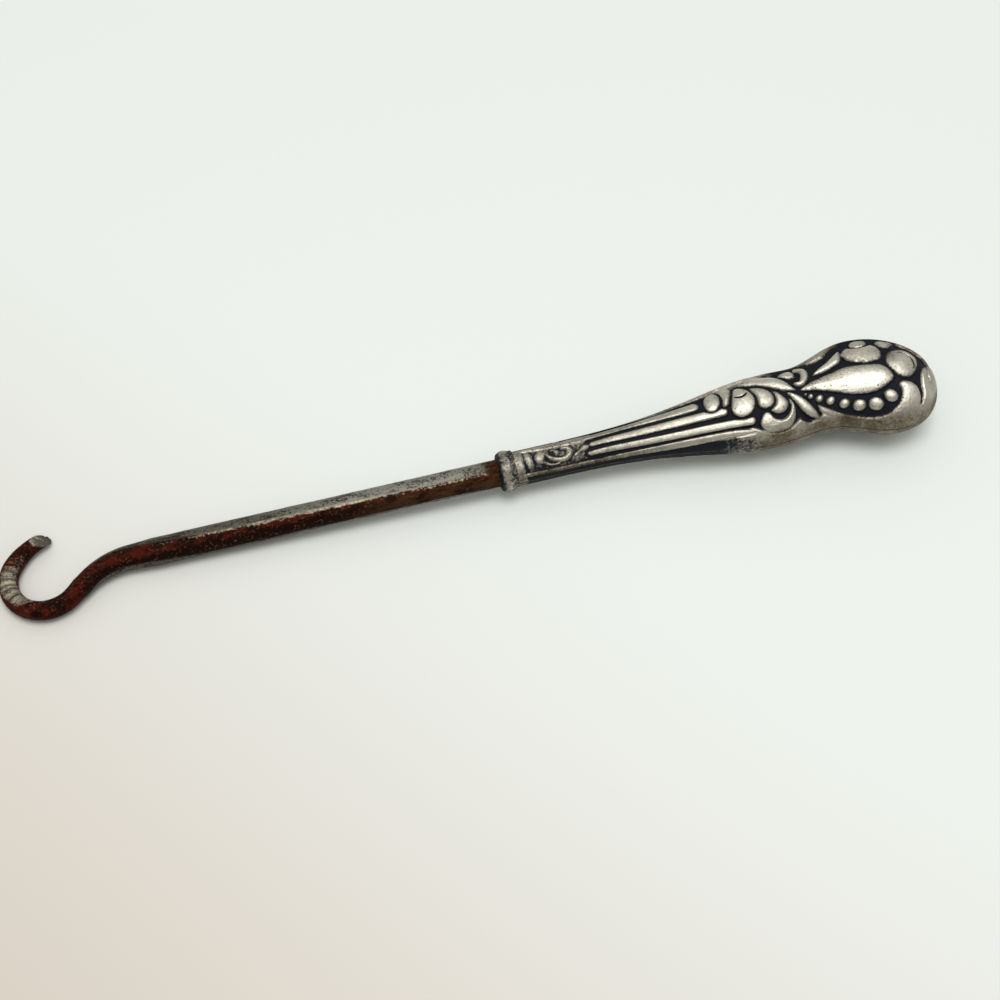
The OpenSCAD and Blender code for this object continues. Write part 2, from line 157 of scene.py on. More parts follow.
net_s = np.concatenate([
    np.linspace(0, 3.2, 4, endpoint=False),
    np.linspace(3.2, 14.6, 75, endpoint=False),
    np.linspace(14.6, 30.5, 32, endpoint=False),
    np.linspace(30.5, butt_from, 235, endpoint=False),
    round_the_butt(118),
])
net_angle = np.concatenate([
    np.linspace(-90, -72, 7, endpoint=False),
    np.linspace(-72, 72, 167, endpoint=False),
    np.linspace(72, 90, 10),
])
S, A = np.meshgrid(net_s, net_angle, indexing="ij")
print("net of", S.shape[0], "by", S.shape[1], "points")

# %% Unroll the front, so that distances on the drawing are true millimetres
fine_s = np.linspace(0, handle_len, 4000)
fine_rise = np.gradient(half_width(fine_s) * flatness(fine_s), fine_s)
fine_run = np.concatenate([[0], np.cumsum(np.hypot(1, fine_rise)[1:] * np.diff(fine_s))])
arc_steps = 24


def run_along(s):
    """Distance from the mouth along the front's middle line."""
    return np.interp(s, fine_s, fine_run)


def run_round(s, angle):
    """Distance round the handle from the front's middle line."""
    turn = np.radians(angle)
    total = 0
    for step in (np.arange(arc_steps) + 0.5) / arc_steps:
        total = total + np.hypot(np.cos(turn * step), flatness(s) * np.sin(turn * step))
    return half_width(s) * turn * total / arc_steps


U = run_along(S)
V = run_round(S, A)
print("the front's middle line is", round(float(fine_run[-1]), 1), "mm long")


# %% Soft steps and smooth curves
def smooth_step(t):
    """A soft step from 0 to 1 as t goes from 0 to 1."""
    t = np.clip(t, 0, 1)
    return t * t * (3 - 2 * t)


def ramp(value, start, end):
    """0 where the value is at start and 1 where it is at end, with a soft step between, up or down."""
    return smooth_step((value - start) / (end - start))


curve_steps = 7


def smooth_curve(points, closed):
    """Points filled in along a smooth curve through the given ones."""
    if len(points) < 3:
        return points
    if closed:
        padded = np.vstack([points[-1:], points, points[:2]])
    else:
        padded = np.vstack([2 * points[0] - points[1], points, 2 * points[-1] - points[-2]])
    t = np.linspace(0, 1, curve_steps, endpoint=False)[:, None]
    curve = []
    for a, b, c, d in zip(padded, padded[1:], padded[2:], padded[3:]):
        bend = (2 * a - 5 * b + 4 * c - d) * t ** 2
        ease_out = (3 * b - a - 3 * c + d) * t ** 3
        curve.append(0.5 * (2 * b + (c - a) * t + bend + ease_out))
    return np.vstack(curve if closed else curve + [points[-1:]])


def unrolled(shape, closed=False):
    """A shape's points on the unrolled front, with the half widths that a stroke has."""
    points = np.array([(run_along(p[0]), run_round(p[0], p[1]), *p[2:]) for p in shape], float)
    curve = smooth_curve(points, closed)
    if points.shape[1] > 2:
        curve[:, 2] = np.clip(curve[:, 2], points[:, 2].min(), points[:, 2].max())
    return curve


print("curves get", curve_steps, "steps between two drawn points")


# %% Distances from a stroke's edge and from an outline
def off_segment(u, v, p, q):
    """Distance of each point from the segment p to q, and its share along it."""
    run = q[:2] - p[:2]
    t = np.clip(((u - p[0]) * run[0] + (v - p[1]) * run[1]) / max(run @ run, 1e-12), 0, 1)
    return np.hypot(u - p[0] - t * run[0], v - p[1] - t * run[1]), t


def stroke_gap(u, v, curve):
    """Each point's distance past a stroke's edge, and its place across: 0 in the middle, 1 at the edge."""
    gap = np.full(u.shape, np.inf)
    across = np.full(u.shape, np.inf)
    for p, q in zip(curve, curve[1:] if len(curve) > 1 else curve):
        away, t = off_segment(u, v, p, q)
        half = p[2] + t * (q[2] - p[2])
        across = np.where(away - half < gap, away / half, across)
        gap = np.minimum(gap, away - half)
    return gap, across


def outline_depth(u, v, curve):
    """How far inside a closed outline each point lies; outside it is negative."""
    inside = np.zeros(u.shape, bool)
    depth_in = np.full(u.shape, np.inf)
    for p, q in zip(curve, np.roll(curve, -1, axis=0)):
        depth_in = np.minimum(depth_in, off_segment(u, v, p, q)[0])
        crosses = (p[1] > v) != (q[1] > v)
        inside ^= crosses & (u < p[0] + (v - p[1]) * (q[0] - p[0]) / (q[1] - p[1] + 1e-12))
    return np.where(inside, depth_in, -depth_in)


print("distances are taken at", U.size, "points of the net")

# %% Tools to raise, cut and soften
reach = 1.0
edge_soft = 0.16
groove_half = 0.3
dome_power = 0.7


def near_shape(curve):
    """Which points of the net lie within reach of a shape."""
    pad = reach + (curve[:, 2].max() if curve.shape[1] > 2 else 0)
    low = curve[:, :2].min(0) - pad
    high = curve[:, :2].max(0) + pad
    return (U > low[0]) & (U < high[0]) & (V > low[1]) & (V < high[1])


def lay(level, here, form, past_edge, groove):
    """Lays a form over the level, with a groove chased round it."""
    around = level[here] - groove * np.exp(-(np.maximum(past_edge, 0) / groove_half) ** 2)
    share = smooth_step(0.5 - past_edge / edge_soft)
    level[here] = around * (1 - share) + form * share


def raise_stroke(level, stroke, top=1.0, edge=0.15, fullness=2.0, groove=0.3):
    """A rounded stroke."""
    curve = unrolled(stroke)
    here = near_shape(curve)
    gap, across = stroke_gap(U[here], V[here], curve)
    form = edge + (top - edge) * np.sqrt(np.clip(1 - np.clip(across, 0, 1) ** fullness, 0, 1))
    lay(level, here, form, gap, groove)


def raise_shape(level, outline, swell=1.0, top=1.0, edge=0.3, groove=0.3):
    """A pillowed shape that swells up from its outline within a given distance."""
    curve = unrolled(outline, closed=True)
    here = near_shape(curve)
    inside = outline_depth(U[here], V[here], curve)
    form = edge + (top - edge) * (1 - (1 - np.clip(inside / swell, 0, 1)) ** 2) ** dome_power
    lay(level, here, form, -inside, groove)


def cut_stroke(level, stroke, bottom=0.0):
    """A rounded channel pressed into the level."""
    curve = unrolled(stroke)
    here = near_shape(curve)
    across = stroke_gap(U[here], V[here], curve)[1]
    channel = bottom + (1 - bottom) * np.clip(across, 0, 1) ** 2
    level[here] = np.where(across < 1, np.minimum(level[here], channel), level[here])


def soften(field, times):
    """The field with its sharp steps worn soft."""
    for _ in range(times):
        for axis in (0, 1):
            place = np.arange(field.shape[axis])
            ahead = field.take(np.minimum(place + 1, place[-1]), axis)
            behind = field.take(np.maximum(place - 1, 0), axis)
            field = (ahead + 2 * field + behind) / 4
    return field


print("edges are", edge_soft, "mm soft, and chased grooves", 2 * groove_half, "mm wide")

# %% The sunk ground between the plain rims
near_edge = [(0, -64), (5, -67), (10, -70), (18, -68), (26.5, -62), (33, -55), (37, -52), (39.5, -50),
             (41.5, -60), (43, -66), (45.5, -66), (46.8, -56), (47.6, -52), (48.4, -58), (49.5, -65),
             (50.6, -62), (51.2, -58), (52.3, -64), (53.5, -71), (55.4, -79), (57.2, -82), (58.9, -81),
             (60.6, -76), (62.1, -68), (63.4, -62), (65, -60), (66.5, -58), (67, -46), (67.3, -40),
             (67.6, -28), (68, -15), (69, -5), (70.2, 4)]
far_edge = [(0, 38), (5, 30), (7, 20), (10, 18), (13.5, 16), (15.5, 40), (30, 46), (36, 56), (40, 66),
            (46, 66), (49, 58), (50.8, 50), (52.5, 44), (54.2, 44), (55.7, 50), (57.2, 57), (58.5, 60),
            (66.5, 60), (68.3, 54), (70.2, 38)]
ground_from = 3.3
rim_soft = 0.45
to_near = V - run_round(S, np.interp(S, *zip(*near_edge)))
to_far = run_round(S, np.interp(S, *zip(*far_edge))) - V
level = 1 - smooth_step(np.minimum(np.minimum(to_near, to_far), S - ground_from) / rim_soft)
print("sunk share of the front:", round(float((level < 0.5).mean()), 3))

# %% Reeds along the neck, and the small scrolls by the collar
near_ridge = [(3.4, -66, 0.42), (10, -71, 0.5), (18, -69, 0.6), (26.5, -63, 0.68), (33, -56, 0.74),
              (37, -53, 0.6), (39.5, -54, 0.25)]
reeds = [
    [(14, 24, 0.4), (17, 28, 0.6), (23, 30, 0.75), (28, 23, 0.85), (31.6, 20, 0.92)],
    [(14.6, -6, 0.45), (18, -4, 0.6), (25.7, -6, 0.74), (31, -8, 0.82), (35.7, -9, 0.86)],
    [(14, -36, 0.42), (18, -35, 0.55), (26.8, -36.5, 0.62), (34, -35, 0.74), (39.6, -36, 0.76)],
    [(10, 58, 0.5), (24, 53, 0.75), (31, 52, 0.7), (35.5, 50, 0.5)],
    near_ridge,
]
neck_bars = [
    [(4.4, 26), (4.9, 4), (5, -20), (4.8, -44), (4.1, -42), (3.8, -10), (3.8, 14)],
    [(6.1, 18), (6.9, 13), (7, -12), (6.3, -36), (5.6, -26), (5.3, -8)],
    [(11, -39), (12.3, -15), (13.3, 2), (14.1, -4), (14, -18), (13.2, -24), (12.4, -24), (11.8, -33)],
]
neck_scrolls = [
    [(7.3, 9, 0.2), (7.5, -14, 0.3), (8.7, -31, 0.42), (10, -34, 0.48), (10.9, -20, 0.46), (10.8, 3, 0.4),
     (10, 8, 0.26)],
    [(8.1, 7, 0.14), (8.9, 1, 0.22), (8.9, -13, 0.16)],
    [(6.8, -32, 0.16), (7.6, -44, 0.22), (9, -46, 0.18)],
]
for stroke in reeds:
    raise_stroke(level, stroke, edge=0.25, fullness=3.5)
for outline in neck_bars:
    raise_shape(level, outline, swell=0.5, top=0.95, edge=0.2, groove=0.1)
for stroke in neck_scrolls:
    raise_stroke(level, stroke, top=0.95, groove=0.1)
print(len(reeds), "reeds,", len(neck_bars), "bars and", len(neck_scrolls), "neck scrolls pressed")

# %% Petals and leaves of the shoulder
far_strand = [(40, 54), (41.5, 61), (43, 65), (44.6, 63), (46, 55), (46.6, 48), (45.1, 42), (43.8, 44),
              (42.2, 46), (40.8, 48)]
arch_leaf = [(39, 47), (41, 51), (42.7, 48), (44.6, 41), (46, 32), (47, 19), (47.7, 5), (48.1, -3),
             (46.6, -1), (45.6, 3), (44.4, 11), (43.2, 17), (41.9, 25), (40.4, 32)]
curl_leaf = [(46.1, 36), (47.4, 47), (48.8, 46), (49, 33), (48.6, 24), (47.4, 25)]
curl = [(49.3, 44, 0.4), (50.2, 35, 0.58), (50.35, 25, 0.68), (50, 15, 0.72), (49.4, 8, 0.62),
        (48.7, 7, 0.46), (48.1, 10, 0.2)]
lens_leaf = [(46.3, -2), (47.4, -6), (48.6, -16), (49.6, -31), (50.5, -50), (50.7, -60), (50.3, -64),
             (49.3, -57), (48.2, -43), (47.4, -27), (46.7, -13)]
volute = [(41, -38), (41.6, -29), (42.8, -24), (44, -24), (45.4, -22), (46.3, -11), (47, -23), (47, -38),
          (46.5, -52), (45.6, -63), (44, -67), (42.4, -65), (41.2, -55), (40.8, -46)]
volute_hollow = [(43, -27, 0.2), (43.5, -37, 0.5), (44.6, -40, 0.62), (45.6, -35, 0.45), (46.3, -24, 0.15)]
petals = [
    [(43.2, 10), (44.7, 4), (45.6, -6), (46.1, -16), (46, -25), (45.3, -32.5), (44.2, -34.5),
     (43.3, -31.5), (42.8, -25), (43.2, -14)],
    [(39.9, 27), (41.3, 22), (42.8, 16), (43.8, 6), (44.1, -6), (43.8, -16), (43, -21.5), (42.2, -22.5),
     (41.3, -17), (40.8, -6), (40.5, 8)],
    [(35.3, 45), (36.6, 51), (38, 41), (38.6, 24), (38.1, 10), (37.2, 1), (36.1, -2), (35.6, 8),
     (35.7, 22)],
    [(37, -5), (37.5, 8), (38, 20), (38.5, 31), (39.5, 31), (40.5, 21), (41.1, 7), (41.1, -6), (40.6, -18),
     (39.6, -26), (38.4, -28), (37.4, -24), (36.9, -14)],
    [(33.3, 26), (34, 41), (35.3, 45), (36, 31), (35.9, 13), (35.3, 1), (34.2, -4), (33.2, 4)],
]
lens_cut = [(46.9, -38, 0.1), (47.4, -48, 0.25), (48.4, -58, 0.3), (49.3, -64, 0.1)]
nick = [(38.2, 10, 0.06), (38.9, 7, 0.13), (39.6, 8, 0.13), (40.2, 12, 0.06)]
for outline in (far_strand, arch_leaf, curl_leaf):
    raise_shape(level, outline, swell=1.4, edge=0.35)
raise_stroke(level, curl, edge=0.3, fullness=2.6)
raise_shape(level, lens_leaf, swell=1.0, edge=0.35)
raise_shape(level, volute, swell=1.5, edge=0.4, groove=0.25)
cut_stroke(level, volute_hollow, bottom=0.0)
for outline in petals:
    raise_shape(level, outline, swell=1.8, edge=0.4, groove=0.95)
cut_stroke(level, lens_cut, bottom=-0.1)
cut_stroke(level, nick, bottom=0.5)
print(len(petals), "petals, the leaves and the volute pressed")

# %% Cartouche, lobes, scroll and beads of the pear
cartouche = [(48.6, -4), (50.4, 4), (52.3, 5), (54.3, 5), (56.1, 6.5), (58, 5.5), (60.1, 5), (61.8, 3),
             (63, -3), (63.4, -13), (62.8, -20), (61.2, -27), (59.6, -32.5), (57.6, -35), (55.5, -32.5),
             (53.2, -24), (50.9, -14)]
upper_lobe = [(57.1, 32), (58, 39), (59.4, 44), (60.8, 45), (62, 41), (62.9, 35), (63.3, 27), (63.1, 19),
              (62.5, 11), (61.1, 6.5), (59.5, 5.5), (58, 9), (57, 17), (56.7, 26)]
tucked_lobe = [(58.9, 44), (59.5, 51), (60.5, 55), (61.7, 52), (62.1, 45), (61.2, 36), (59.9, 33),
               (58.9, 37)]
dim_lobe = [(63.3, 48), (64.4, 55), (65.9, 54), (66.4, 46), (65.2, 32), (63.8, 30), (63.1, 39)]
boss = [(63.3, 12), (64.1, 21), (65.8, 29), (67.3, 33), (68.5, 29), (68.8, 15), (68.1, -1), (66.9, -13),
        (65.7, -17), (64.3, -15), (63.5, -8), (62.9, 2)]
boss_fold = [(65.3, 20, 0.12), (66.6, 22, 0.36), (67.6, 14, 0.4), (67.6, 2, 0.3), (67, -6, 0.1)]
sliver_leaf = [(51.3, 14), (52.6, 21), (54.2, 25), (55.9, 33), (57, 38), (56.9, 26), (56.2, 16),
               (55, 11.5), (53.6, 9.5), (52.2, 10.5)]
end_fold = [(70, 7, 0.1), (69.5, -5, 0.22), (69.3, -17, 0.2), (69.3, -30, 0.06)]
scroll = [(50.6, -37), (51.8, -45), (53.5, -58), (55.4, -66), (57.2, -69), (58.9, -68), (60.6, -63),
          (62.1, -54), (63.2, -44), (63.8, -34), (63.7, -25), (64.1, -21.5), (64.9, -21), (65.9, -23.5),
          (66.7, -31), (66.9, -42), (66.7, -54), (66, -68), (64, -80), (61, -86), (57.5, -86), (54.5, -82),
          (52.3, -72), (50.9, -53)]
scroll_cut = [(67.2, -20, 0.15), (67.25, -30, 0.26), (67.2, -42, 0.25), (66.6, -57, 0.08)]
bead_row = [(61.9, -38, 1.22), (59.3, -48, 1.26), (56.8, -50, 1.1), (54.7, -46, 0.9), (52.8, -37, 0.8),
            (51.2, -28, 0.7), (49.9, -20, 0.52), (49.2, -14.5, 0.3)]
raise_shape(level, sliver_leaf, swell=0.8)
raise_shape(level, cartouche, swell=3.4, edge=0.35)
raise_shape(level, dim_lobe, swell=1.2, top=0.9)
raise_shape(level, upper_lobe, swell=3.2)
raise_shape(level, tucked_lobe, swell=1.0, top=0.95, edge=0.5, groove=0.9)
rim_level = level.copy()
raise_shape(level, scroll, swell=1.3, edge=0.45, groove=0.1)
level = np.maximum(level, rim_level)
cut_stroke(level, scroll_cut, bottom=-0.1)
cut_stroke(level, end_fold, bottom=0.3)
raise_shape(level, boss, swell=3.2)
cut_stroke(level, boss_fold, bottom=0.2)
for place in bead_row:
    raise_stroke(level, [place], edge=0.15, groove=0.1)
on_neck = ramp(S, 15, 12)
level = np.clip(on_neck * soften(level, 4) + (1 - on_neck) * soften(level, 2), -0.15, 1)
print(len(bead_row), "beads pressed; lowest level", round(float(level.min()), 2))

# %% [markdown]
# ## The two struck halves
# One half is a flat grid rolled into a closed C: its columns go along the outer skin from the near edge to
# the far one and back along the inner wall. Extruding and insetting by hand can't give a relief of this
# kind, so the grid's points are moved by the drawing. Doubles are then merged where the rows meet at the
# butt, and the mouth is closed by a face. Three numbers go with each point of the skin: one for the black
# oxide in the ground, with painted shade in the creases; one for the black under the near ridge, which is
# painted shade on the underside with some stain; and one for the brown tarnish film and grime that hands
# never rub off, with painted shade on the underside, on the boss's dark side and towards the grooves.

# %% Sink the ground between the forms
neck_depth = 0.34
pear_depth = 0.7
deepen_from = 26.0
deepen_run = 12.0
depth = ease(neck_depth, pear_depth, (S - deepen_from) / deepen_run)
smooth_skin = handle_points(S, A)
along = np.gradient(smooth_skin, axis=0)
round_it = np.gradient(smooth_skin, axis=1)
outward = np.cross(along, round_it)
outward /= np.maximum(np.linalg.norm(outward, axis=-1, keepdims=True), 1e-9)
outward *= np.sign(outward[len(net_s) // 2, len(net_angle) // 2, 2])
sink = depth * (1 - level)
sink[:, [0, -1]] = 0
sink[-3:] = 0
skin = smooth_skin - outward * sink[..., None]
print("deepest ground:", round(float(sink.max()), 2), "mm")

# %% Keep the skin inside the CAD half
low_corner, high_corner = (np.array(corner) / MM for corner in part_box("front_shell"))
skin[..., 1] = np.clip(skin[..., 1], low_corner[1], high_corner[1])
fit = min(1, (high_corner[2] - seam / 2) / (skin[..., 2].max() - seam / 2))
skin[..., 2] = seam / 2 + fit * np.maximum(skin[..., 2] - seam / 2, 0)
print("thickness kept to a share of", round(float(fit), 4))

# %% The smooth wall behind the relief
shared_wall = 0.2
edge_power = 8


def behind_relief(s):
    """How much deeper than the wall's own thickness the inner side lies, to clear the deep ground."""
    return ease(0, pear_depth - shared_wall, (s - deepen_from) / deepen_run)


inner_s, inner_a = np.meshgrid(net_s, np.linspace(90, -90, 25), indexing="ij")
inner_inset = wall + behind_relief(inner_s) * (1 - (inner_a / 90) ** edge_power)
inner_wall = handle_points(inner_s, inner_a, inner_inset)
half_net = np.concatenate([skin, inner_wall, skin[:, :1]], axis=1)
print("closed net of", half_net.shape[0], "by", half_net.shape[1], "points")


# %% Where black oxide is left: in the ground, on the neck and along the far side, with painted shade in the creases and in the nick
def spot(s, angle, stretch, radius):
    """A soft spot on the skin, 1 in its middle; stretch is its degrees for each millimetre."""
    return smooth_step(1 - np.hypot(S - s, (A - angle) / stretch) / radius)


nick_shade_width = 0.2
far_band = ramp(A, 36, 48) * ramp(S, 38, 28)
far_band += ramp(A, 40, 50) * ramp(S, 40, 45) * ramp(S, 58, 54)
far_band += 2 * ramp(A, 54, 61) * ramp(S, 54, 59)
far_band *= ramp(A, 82, 66)
# Where a form's edge drops into a groove the black is deepened: real oxide, with painted shade in the
# creases.
crease_oxide_and_shade = np.clip(soften(level, 8) - level - 0.03, 0, 1)
sunk = np.clip(1 - level, 0, 1) ** 0.65 * (0.36 + 0.64 * ramp(S, 12, 18))
hollow = 0.85 * sunk + 1.2 * crease_oxide_and_shade + 0.35 * ramp(S, 31, 9) + 0.42 * far_band
hollow += 0.4 * spot(64.8, 44, 8, 2.4) + 0.12 * ramp(S, 4, 2.8)
far_rub = ramp(A, 40, 52) * ramp(S, 27, 32) * ramp(S, 45, 42)
hollow *= 1 - 0.75 * far_rub
# The nick gets a painted shade crescent, blackened inside its cut.
nick_shade = smooth_step(1 - stroke_gap(U, V, unrolled(nick))[0] / nick_shade_width)
hollow = np.clip(np.maximum(hollow, nick_shade), 0, 1)
print("black share of the front:", round(float((hollow > 0.6).mean()), 2))

# %% The black under the near ridge, painted shade with some stain, and the brown films where hands never rub, with painted shade on the underside, on the boss and towards the grooves
# Below the near ridge the underside turns away from the light: its black band is painted shade, with some
# stain.
ridge_angle = np.interp(S, *zip(*(place[:2] for place in near_ridge)))
below_ridge = ridge_angle - A - ease(0, 5, (S - 14) / 14)
under_ridge_shade_and_stain = ramp(below_ridge, 0, 6) * ramp(S, 2.5, 4.5) * ramp(S, 45, 31)
# The near side's brown is tarnish with painted shade, where the underside faces the dim side of the room.
near_tarnish_and_shade = 0.92 * ramp(A, -42, -82) * (0.45 + 0.55 * ramp(S, 36, 44))
far_film = 0.75 * ramp(A, 34, 54) * (1 - 0.8 * far_rub)
# The boss's film is painted shade on the dark side of its dome.
boss_painted_shade = 0.45 * spot(64.2, 16, 9, 2.2)
end_films = 0.55 * ramp(S, 42, 10) + 0.4 * ramp(S, 68, 70.5)
# The forms go browner towards the grooves: grime, with painted shade.
groove_grime_and_shade = 0.6 * np.clip(1 - soften(level, 10), 0, 1) * ramp(S, 20, 32)
# The tarnish number also carries the painted shade of the near side, the boss and the grooves.
tarnish_and_shade = np.clip(0.06 + near_tarnish_and_shade + far_film + boss_painted_shade + end_films + groove_grime_and_shade, 0, 0.92)
print("tarnished share of the front:", round(float((tarnish_and_shade > 0.5).mean()), 2))


# %% Tools to roll a grid
def rolled_grid(name, points):
    """A grid primitive with its points moved to the given net."""
    rows, columns = points.shape[:2]
    bpy.ops.object.select_all(action="DESELECT")
    bpy.ops.mesh.primitive_grid_add(x_subdivisions=columns - 1, y_subdivisions=rows - 1, size=1)
    piece = bpy.context.object
    piece.name = piece.data.name = name
    piece.data.vertices.foreach_set("co", (points * MM).astype(np.float32).ravel())
    piece.data.update()
    return piece


def add_attribute(piece, name, values):
    """Gives each point of the piece a number that its finish can read."""
    layer = piece.data.attributes.new(name, "FLOAT", "POINT")
    layer.data.foreach_set("value", np.asarray(values, np.float32).ravel())


print("tools ready: rolled_grid, add_attribute")


# %% Tools to measure a mesh and close it
def volume_of(piece):
    """The mesh's volume in cubic mm, positive with its faces outwards, and its count of triangles."""
    mesh = piece.data
    mesh.calc_loop_triangles()
    corners = np.empty(len(mesh.loop_triangles) * 3, np.int32)
    mesh.loop_triangles.foreach_get("vertices", corners)
    points = np.empty(len(mesh.vertices) * 3, np.float32)
    mesh.vertices.foreach_get("co", points)
    a, b, c = points.reshape(-1, 3).astype(float)[corners.reshape(-1, 3)].transpose(1, 0, 2) / MM
    return float(np.einsum("ij,ij->", a, np.cross(b, c)) / 6), len(mesh.loop_triangles)


def close_up(piece, merge=1e-7):
    """Merges the doubles, closes open ends with a face and turns the faces outwards."""
    bpy.ops.object.select_all(action="DESELECT")
    piece.select_set(True)
    bpy.context.view_layer.objects.active = piece
    bpy.ops.object.mode_set(mode="EDIT")
    bpy.ops.mesh.select_all(action="SELECT")
    bpy.ops.mesh.remove_doubles(threshold=merge)
    bpy.ops.mesh.select_mode(type="EDGE")
    bpy.ops.mesh.select_all(action="DESELECT")
    bpy.ops.mesh.select_non_manifold(extend=False, use_wire=False, use_multi_face=False,
                                     use_non_contiguous=False)
    bpy.ops.mesh.edge_face_add()
    bpy.ops.mesh.select_all(action="DESELECT")
    bpy.ops.object.mode_set(mode="OBJECT")
    if volume_of(piece)[0] < 0:
        bpy.ops.object.mode_set(mode="EDIT")
        bpy.ops.mesh.select_all(action="SELECT")
        bpy.ops.mesh.flip_normals()
        bpy.ops.object.mode_set(mode="OBJECT")
    bpy.ops.object.shade_smooth()


print("tools ready: volume_of, close_up")


# %% Roll the front half
def over_the_half(on_skin, on_wall):
    """Values for the closed net: the skin's own, one for the inner wall, and the first column again."""
    inner = np.full(inner_wall.shape[:2], on_wall)
    return np.concatenate([on_skin, inner, on_skin[:, :1]], axis=1)


front = rolled_grid("struck_front", half_net)
add_attribute(front, "hollow", over_the_half(hollow, 0.6))
add_attribute(front, "under_ridge_shade_and_stain", over_the_half(under_ridge_shade_and_stain, 0.0))
add_attribute(front, "tarnish_and_shade", over_the_half(tarnish_and_shade, 0.6))
close_up(front)
print("front half: %.0f cubic mm, %d triangles" % volume_of(front))

# %% The back half is struck in the same die
bpy.ops.object.select_all(action="DESELECT")
front.select_set(True)
bpy.context.view_layer.objects.active = front
bpy.ops.object.duplicate()
back = bpy.context.object
back.name = back.data.name = "struck_back"
back.scale.z = -1
bpy.ops.object.transform_apply(location=False, rotation=False, scale=True)
close_up(back)
print("back half: %.0f cubic mm, %d triangles" % volume_of(back))

# %% [markdown]
# ## The pitch
# Pitch was poured round the tang and fills the halves from behind, so it follows their inner walls. It
# never shows, but it keeps its place: a closed form with a bore for the tang, rolled from one more grid.

# %% Roll the pitch round the tang
tang_r = 1.5
tang_len = 46.0
tang_point = 6.0
tang_tip_ratio = 0.35
pitch_gap = 0.05
pitch_from = 8.4
bore_rings = (28.0, 18.0)
bore_end = tang_len + pitch_gap
turn = np.radians(np.linspace(-180, 180, 49))
bore_s = np.array([bore_end, bore_end, tang_len - tang_point, *bore_rings, pitch_from])
bore_r = pitch_gap + np.array([0, tang_r * tang_tip_ratio, tang_r, tang_r, tang_r, tang_r])
bore_r[0] = 0
bore_y = bore_r[:, None] * np.sin(turn)
bore_z = bore_r[:, None] * np.cos(turn)
bore = np.stack(np.broadcast_arrays(mouth_x + bore_s[:, None], bore_y, bore_z), -1)
skin_s = np.concatenate([np.linspace(pitch_from, butt_from, 60), round_the_butt(20)[1:]])
skin_inset = wall + pitch_gap + behind_relief(skin_s)
on_back = np.abs(turn) > np.pi / 2
folded = np.degrees(np.where(on_back, np.sign(turn) * np.pi - turn, turn))
pitch_skin = handle_points(skin_s[:, None], folded, skin_inset[:, None])
pitch_skin[..., 2] = np.where(on_back, -pitch_skin[..., 2], pitch_skin[..., 2])
filling = rolled_grid("pitch_core", np.concatenate([bore, pitch_skin]))
close_up(filling)
print("pitch: %.0f cubic mm, %d triangles" % volume_of(filling))

# %% [markdown]
# ## The forged hook
# The smith drew out one round rod, bent the crank, the bowl and the lip, and ground the tip. Here a ring
# is extruded along the tang and the shank and spun through each bend, as the rod was bent round a former.
# Its taper and its hammered unevenness come last, by moving each ring's points to or from the rod's middle
# line.

# %% Sizes of the hook
bowl_r = 5.6
bowl_drop = 0.2
bowl_turn = math.radians(164)
lip_r = 9.4
lip_turn = math.radians(43)
crank_angle = math.radians(40)
crank_r = 11.5
bowl_rod_r = 1.5
tip_r = 1.1
tip_ratio = 0.6
tip_grind = 0.8
taper_run = 3.0
shank_seat = 4.0
forge_step = 0.05
crank_drop = crank_r * (1 - math.cos(crank_angle))
crank_x = (bowl_r + crank_drop + bowl_drop * math.cos(crank_angle)) / math.sin(crank_angle)
bowl_c = Vector((0, -bowl_drop, 0))
bowl_from = crank_angle - math.pi / 2
bowl_end = bowl_from - bowl_turn
lip_c = bowl_c + (bowl_r - lip_r) * Vector((math.cos(bowl_end), math.sin(bowl_end), 0))
lip_end = bowl_end - lip_turn
tip_way = Vector((math.sin(lip_end), -math.cos(lip_end), 0))
print("the crank starts", round(crank_x, 2), "mm from the throat")


# %% Extrude the shank and spin the bends
def extrude_ring(move, grow=1.0, centre=(0, 0, 0)):
    """Extrudes the selected ring by a move in mm, and scales the new ring about a centre in mm."""
    bpy.ops.mesh.extrude_region_move(TRANSFORM_OT_translate={"value": tuple(MM * v for v in move)})
    if grow != 1.0:
        bpy.ops.transform.resize(value=(grow, grow, grow), center_override=tuple(MM * v for v in centre))


ring_sides = 40
shank_steps = 110
crank_steps = 18
link_steps = 5
bowl_steps = 48
lip_steps = 20
tip_steps = 6
tang_end = mouth_x + tang_len
bpy.ops.object.select_all(action="DESELECT")
bpy.ops.mesh.primitive_circle_add(
    vertices=ring_sides, radius=tang_r * tang_tip_ratio * MM, fill_type="NOTHING",
    location=(tang_end * MM, 0, 0), rotation=(0, math.pi / 2, 0))
hook = bpy.context.object
hook.name = hook.data.name = "forged_hook"
bpy.ops.object.transform_apply(location=True, rotation=True, scale=True)
bpy.ops.object.mode_set(mode="EDIT")
bpy.ops.mesh.select_all(action="SELECT")
at = tang_end
tang_run = tang_len - tang_point - shank_seat - shank_r
for length, grow in ((tang_point, 1 / tang_tip_ratio), (tang_run, 1), (shank_r, shank_r / tang_r)):
    at -= length
    extrude_ring((-length, 0, 0), grow, (at, 0, 0))
shank_run = at - crank_x
for _ in range(shank_steps):
    extrude_ring((-shank_run / shank_steps, 0, 0))
crank_c = Vector((crank_x, -crank_r, 0))
bpy.ops.mesh.spin(steps=crank_steps, angle=-crank_angle, center=crank_c * MM, axis=(0, 0, 1))
crank_end = Vector((crank_x - crank_r * math.sin(crank_angle), -crank_drop, 0))
bowl_start = bowl_c + bowl_r * Vector((math.sin(crank_angle), -math.cos(crank_angle), 0))
for _ in range(link_steps):
    extrude_ring((bowl_start - crank_end) / link_steps)
bpy.ops.mesh.spin(steps=bowl_steps, angle=bowl_turn, center=bowl_c * MM, axis=(0, 0, 1))
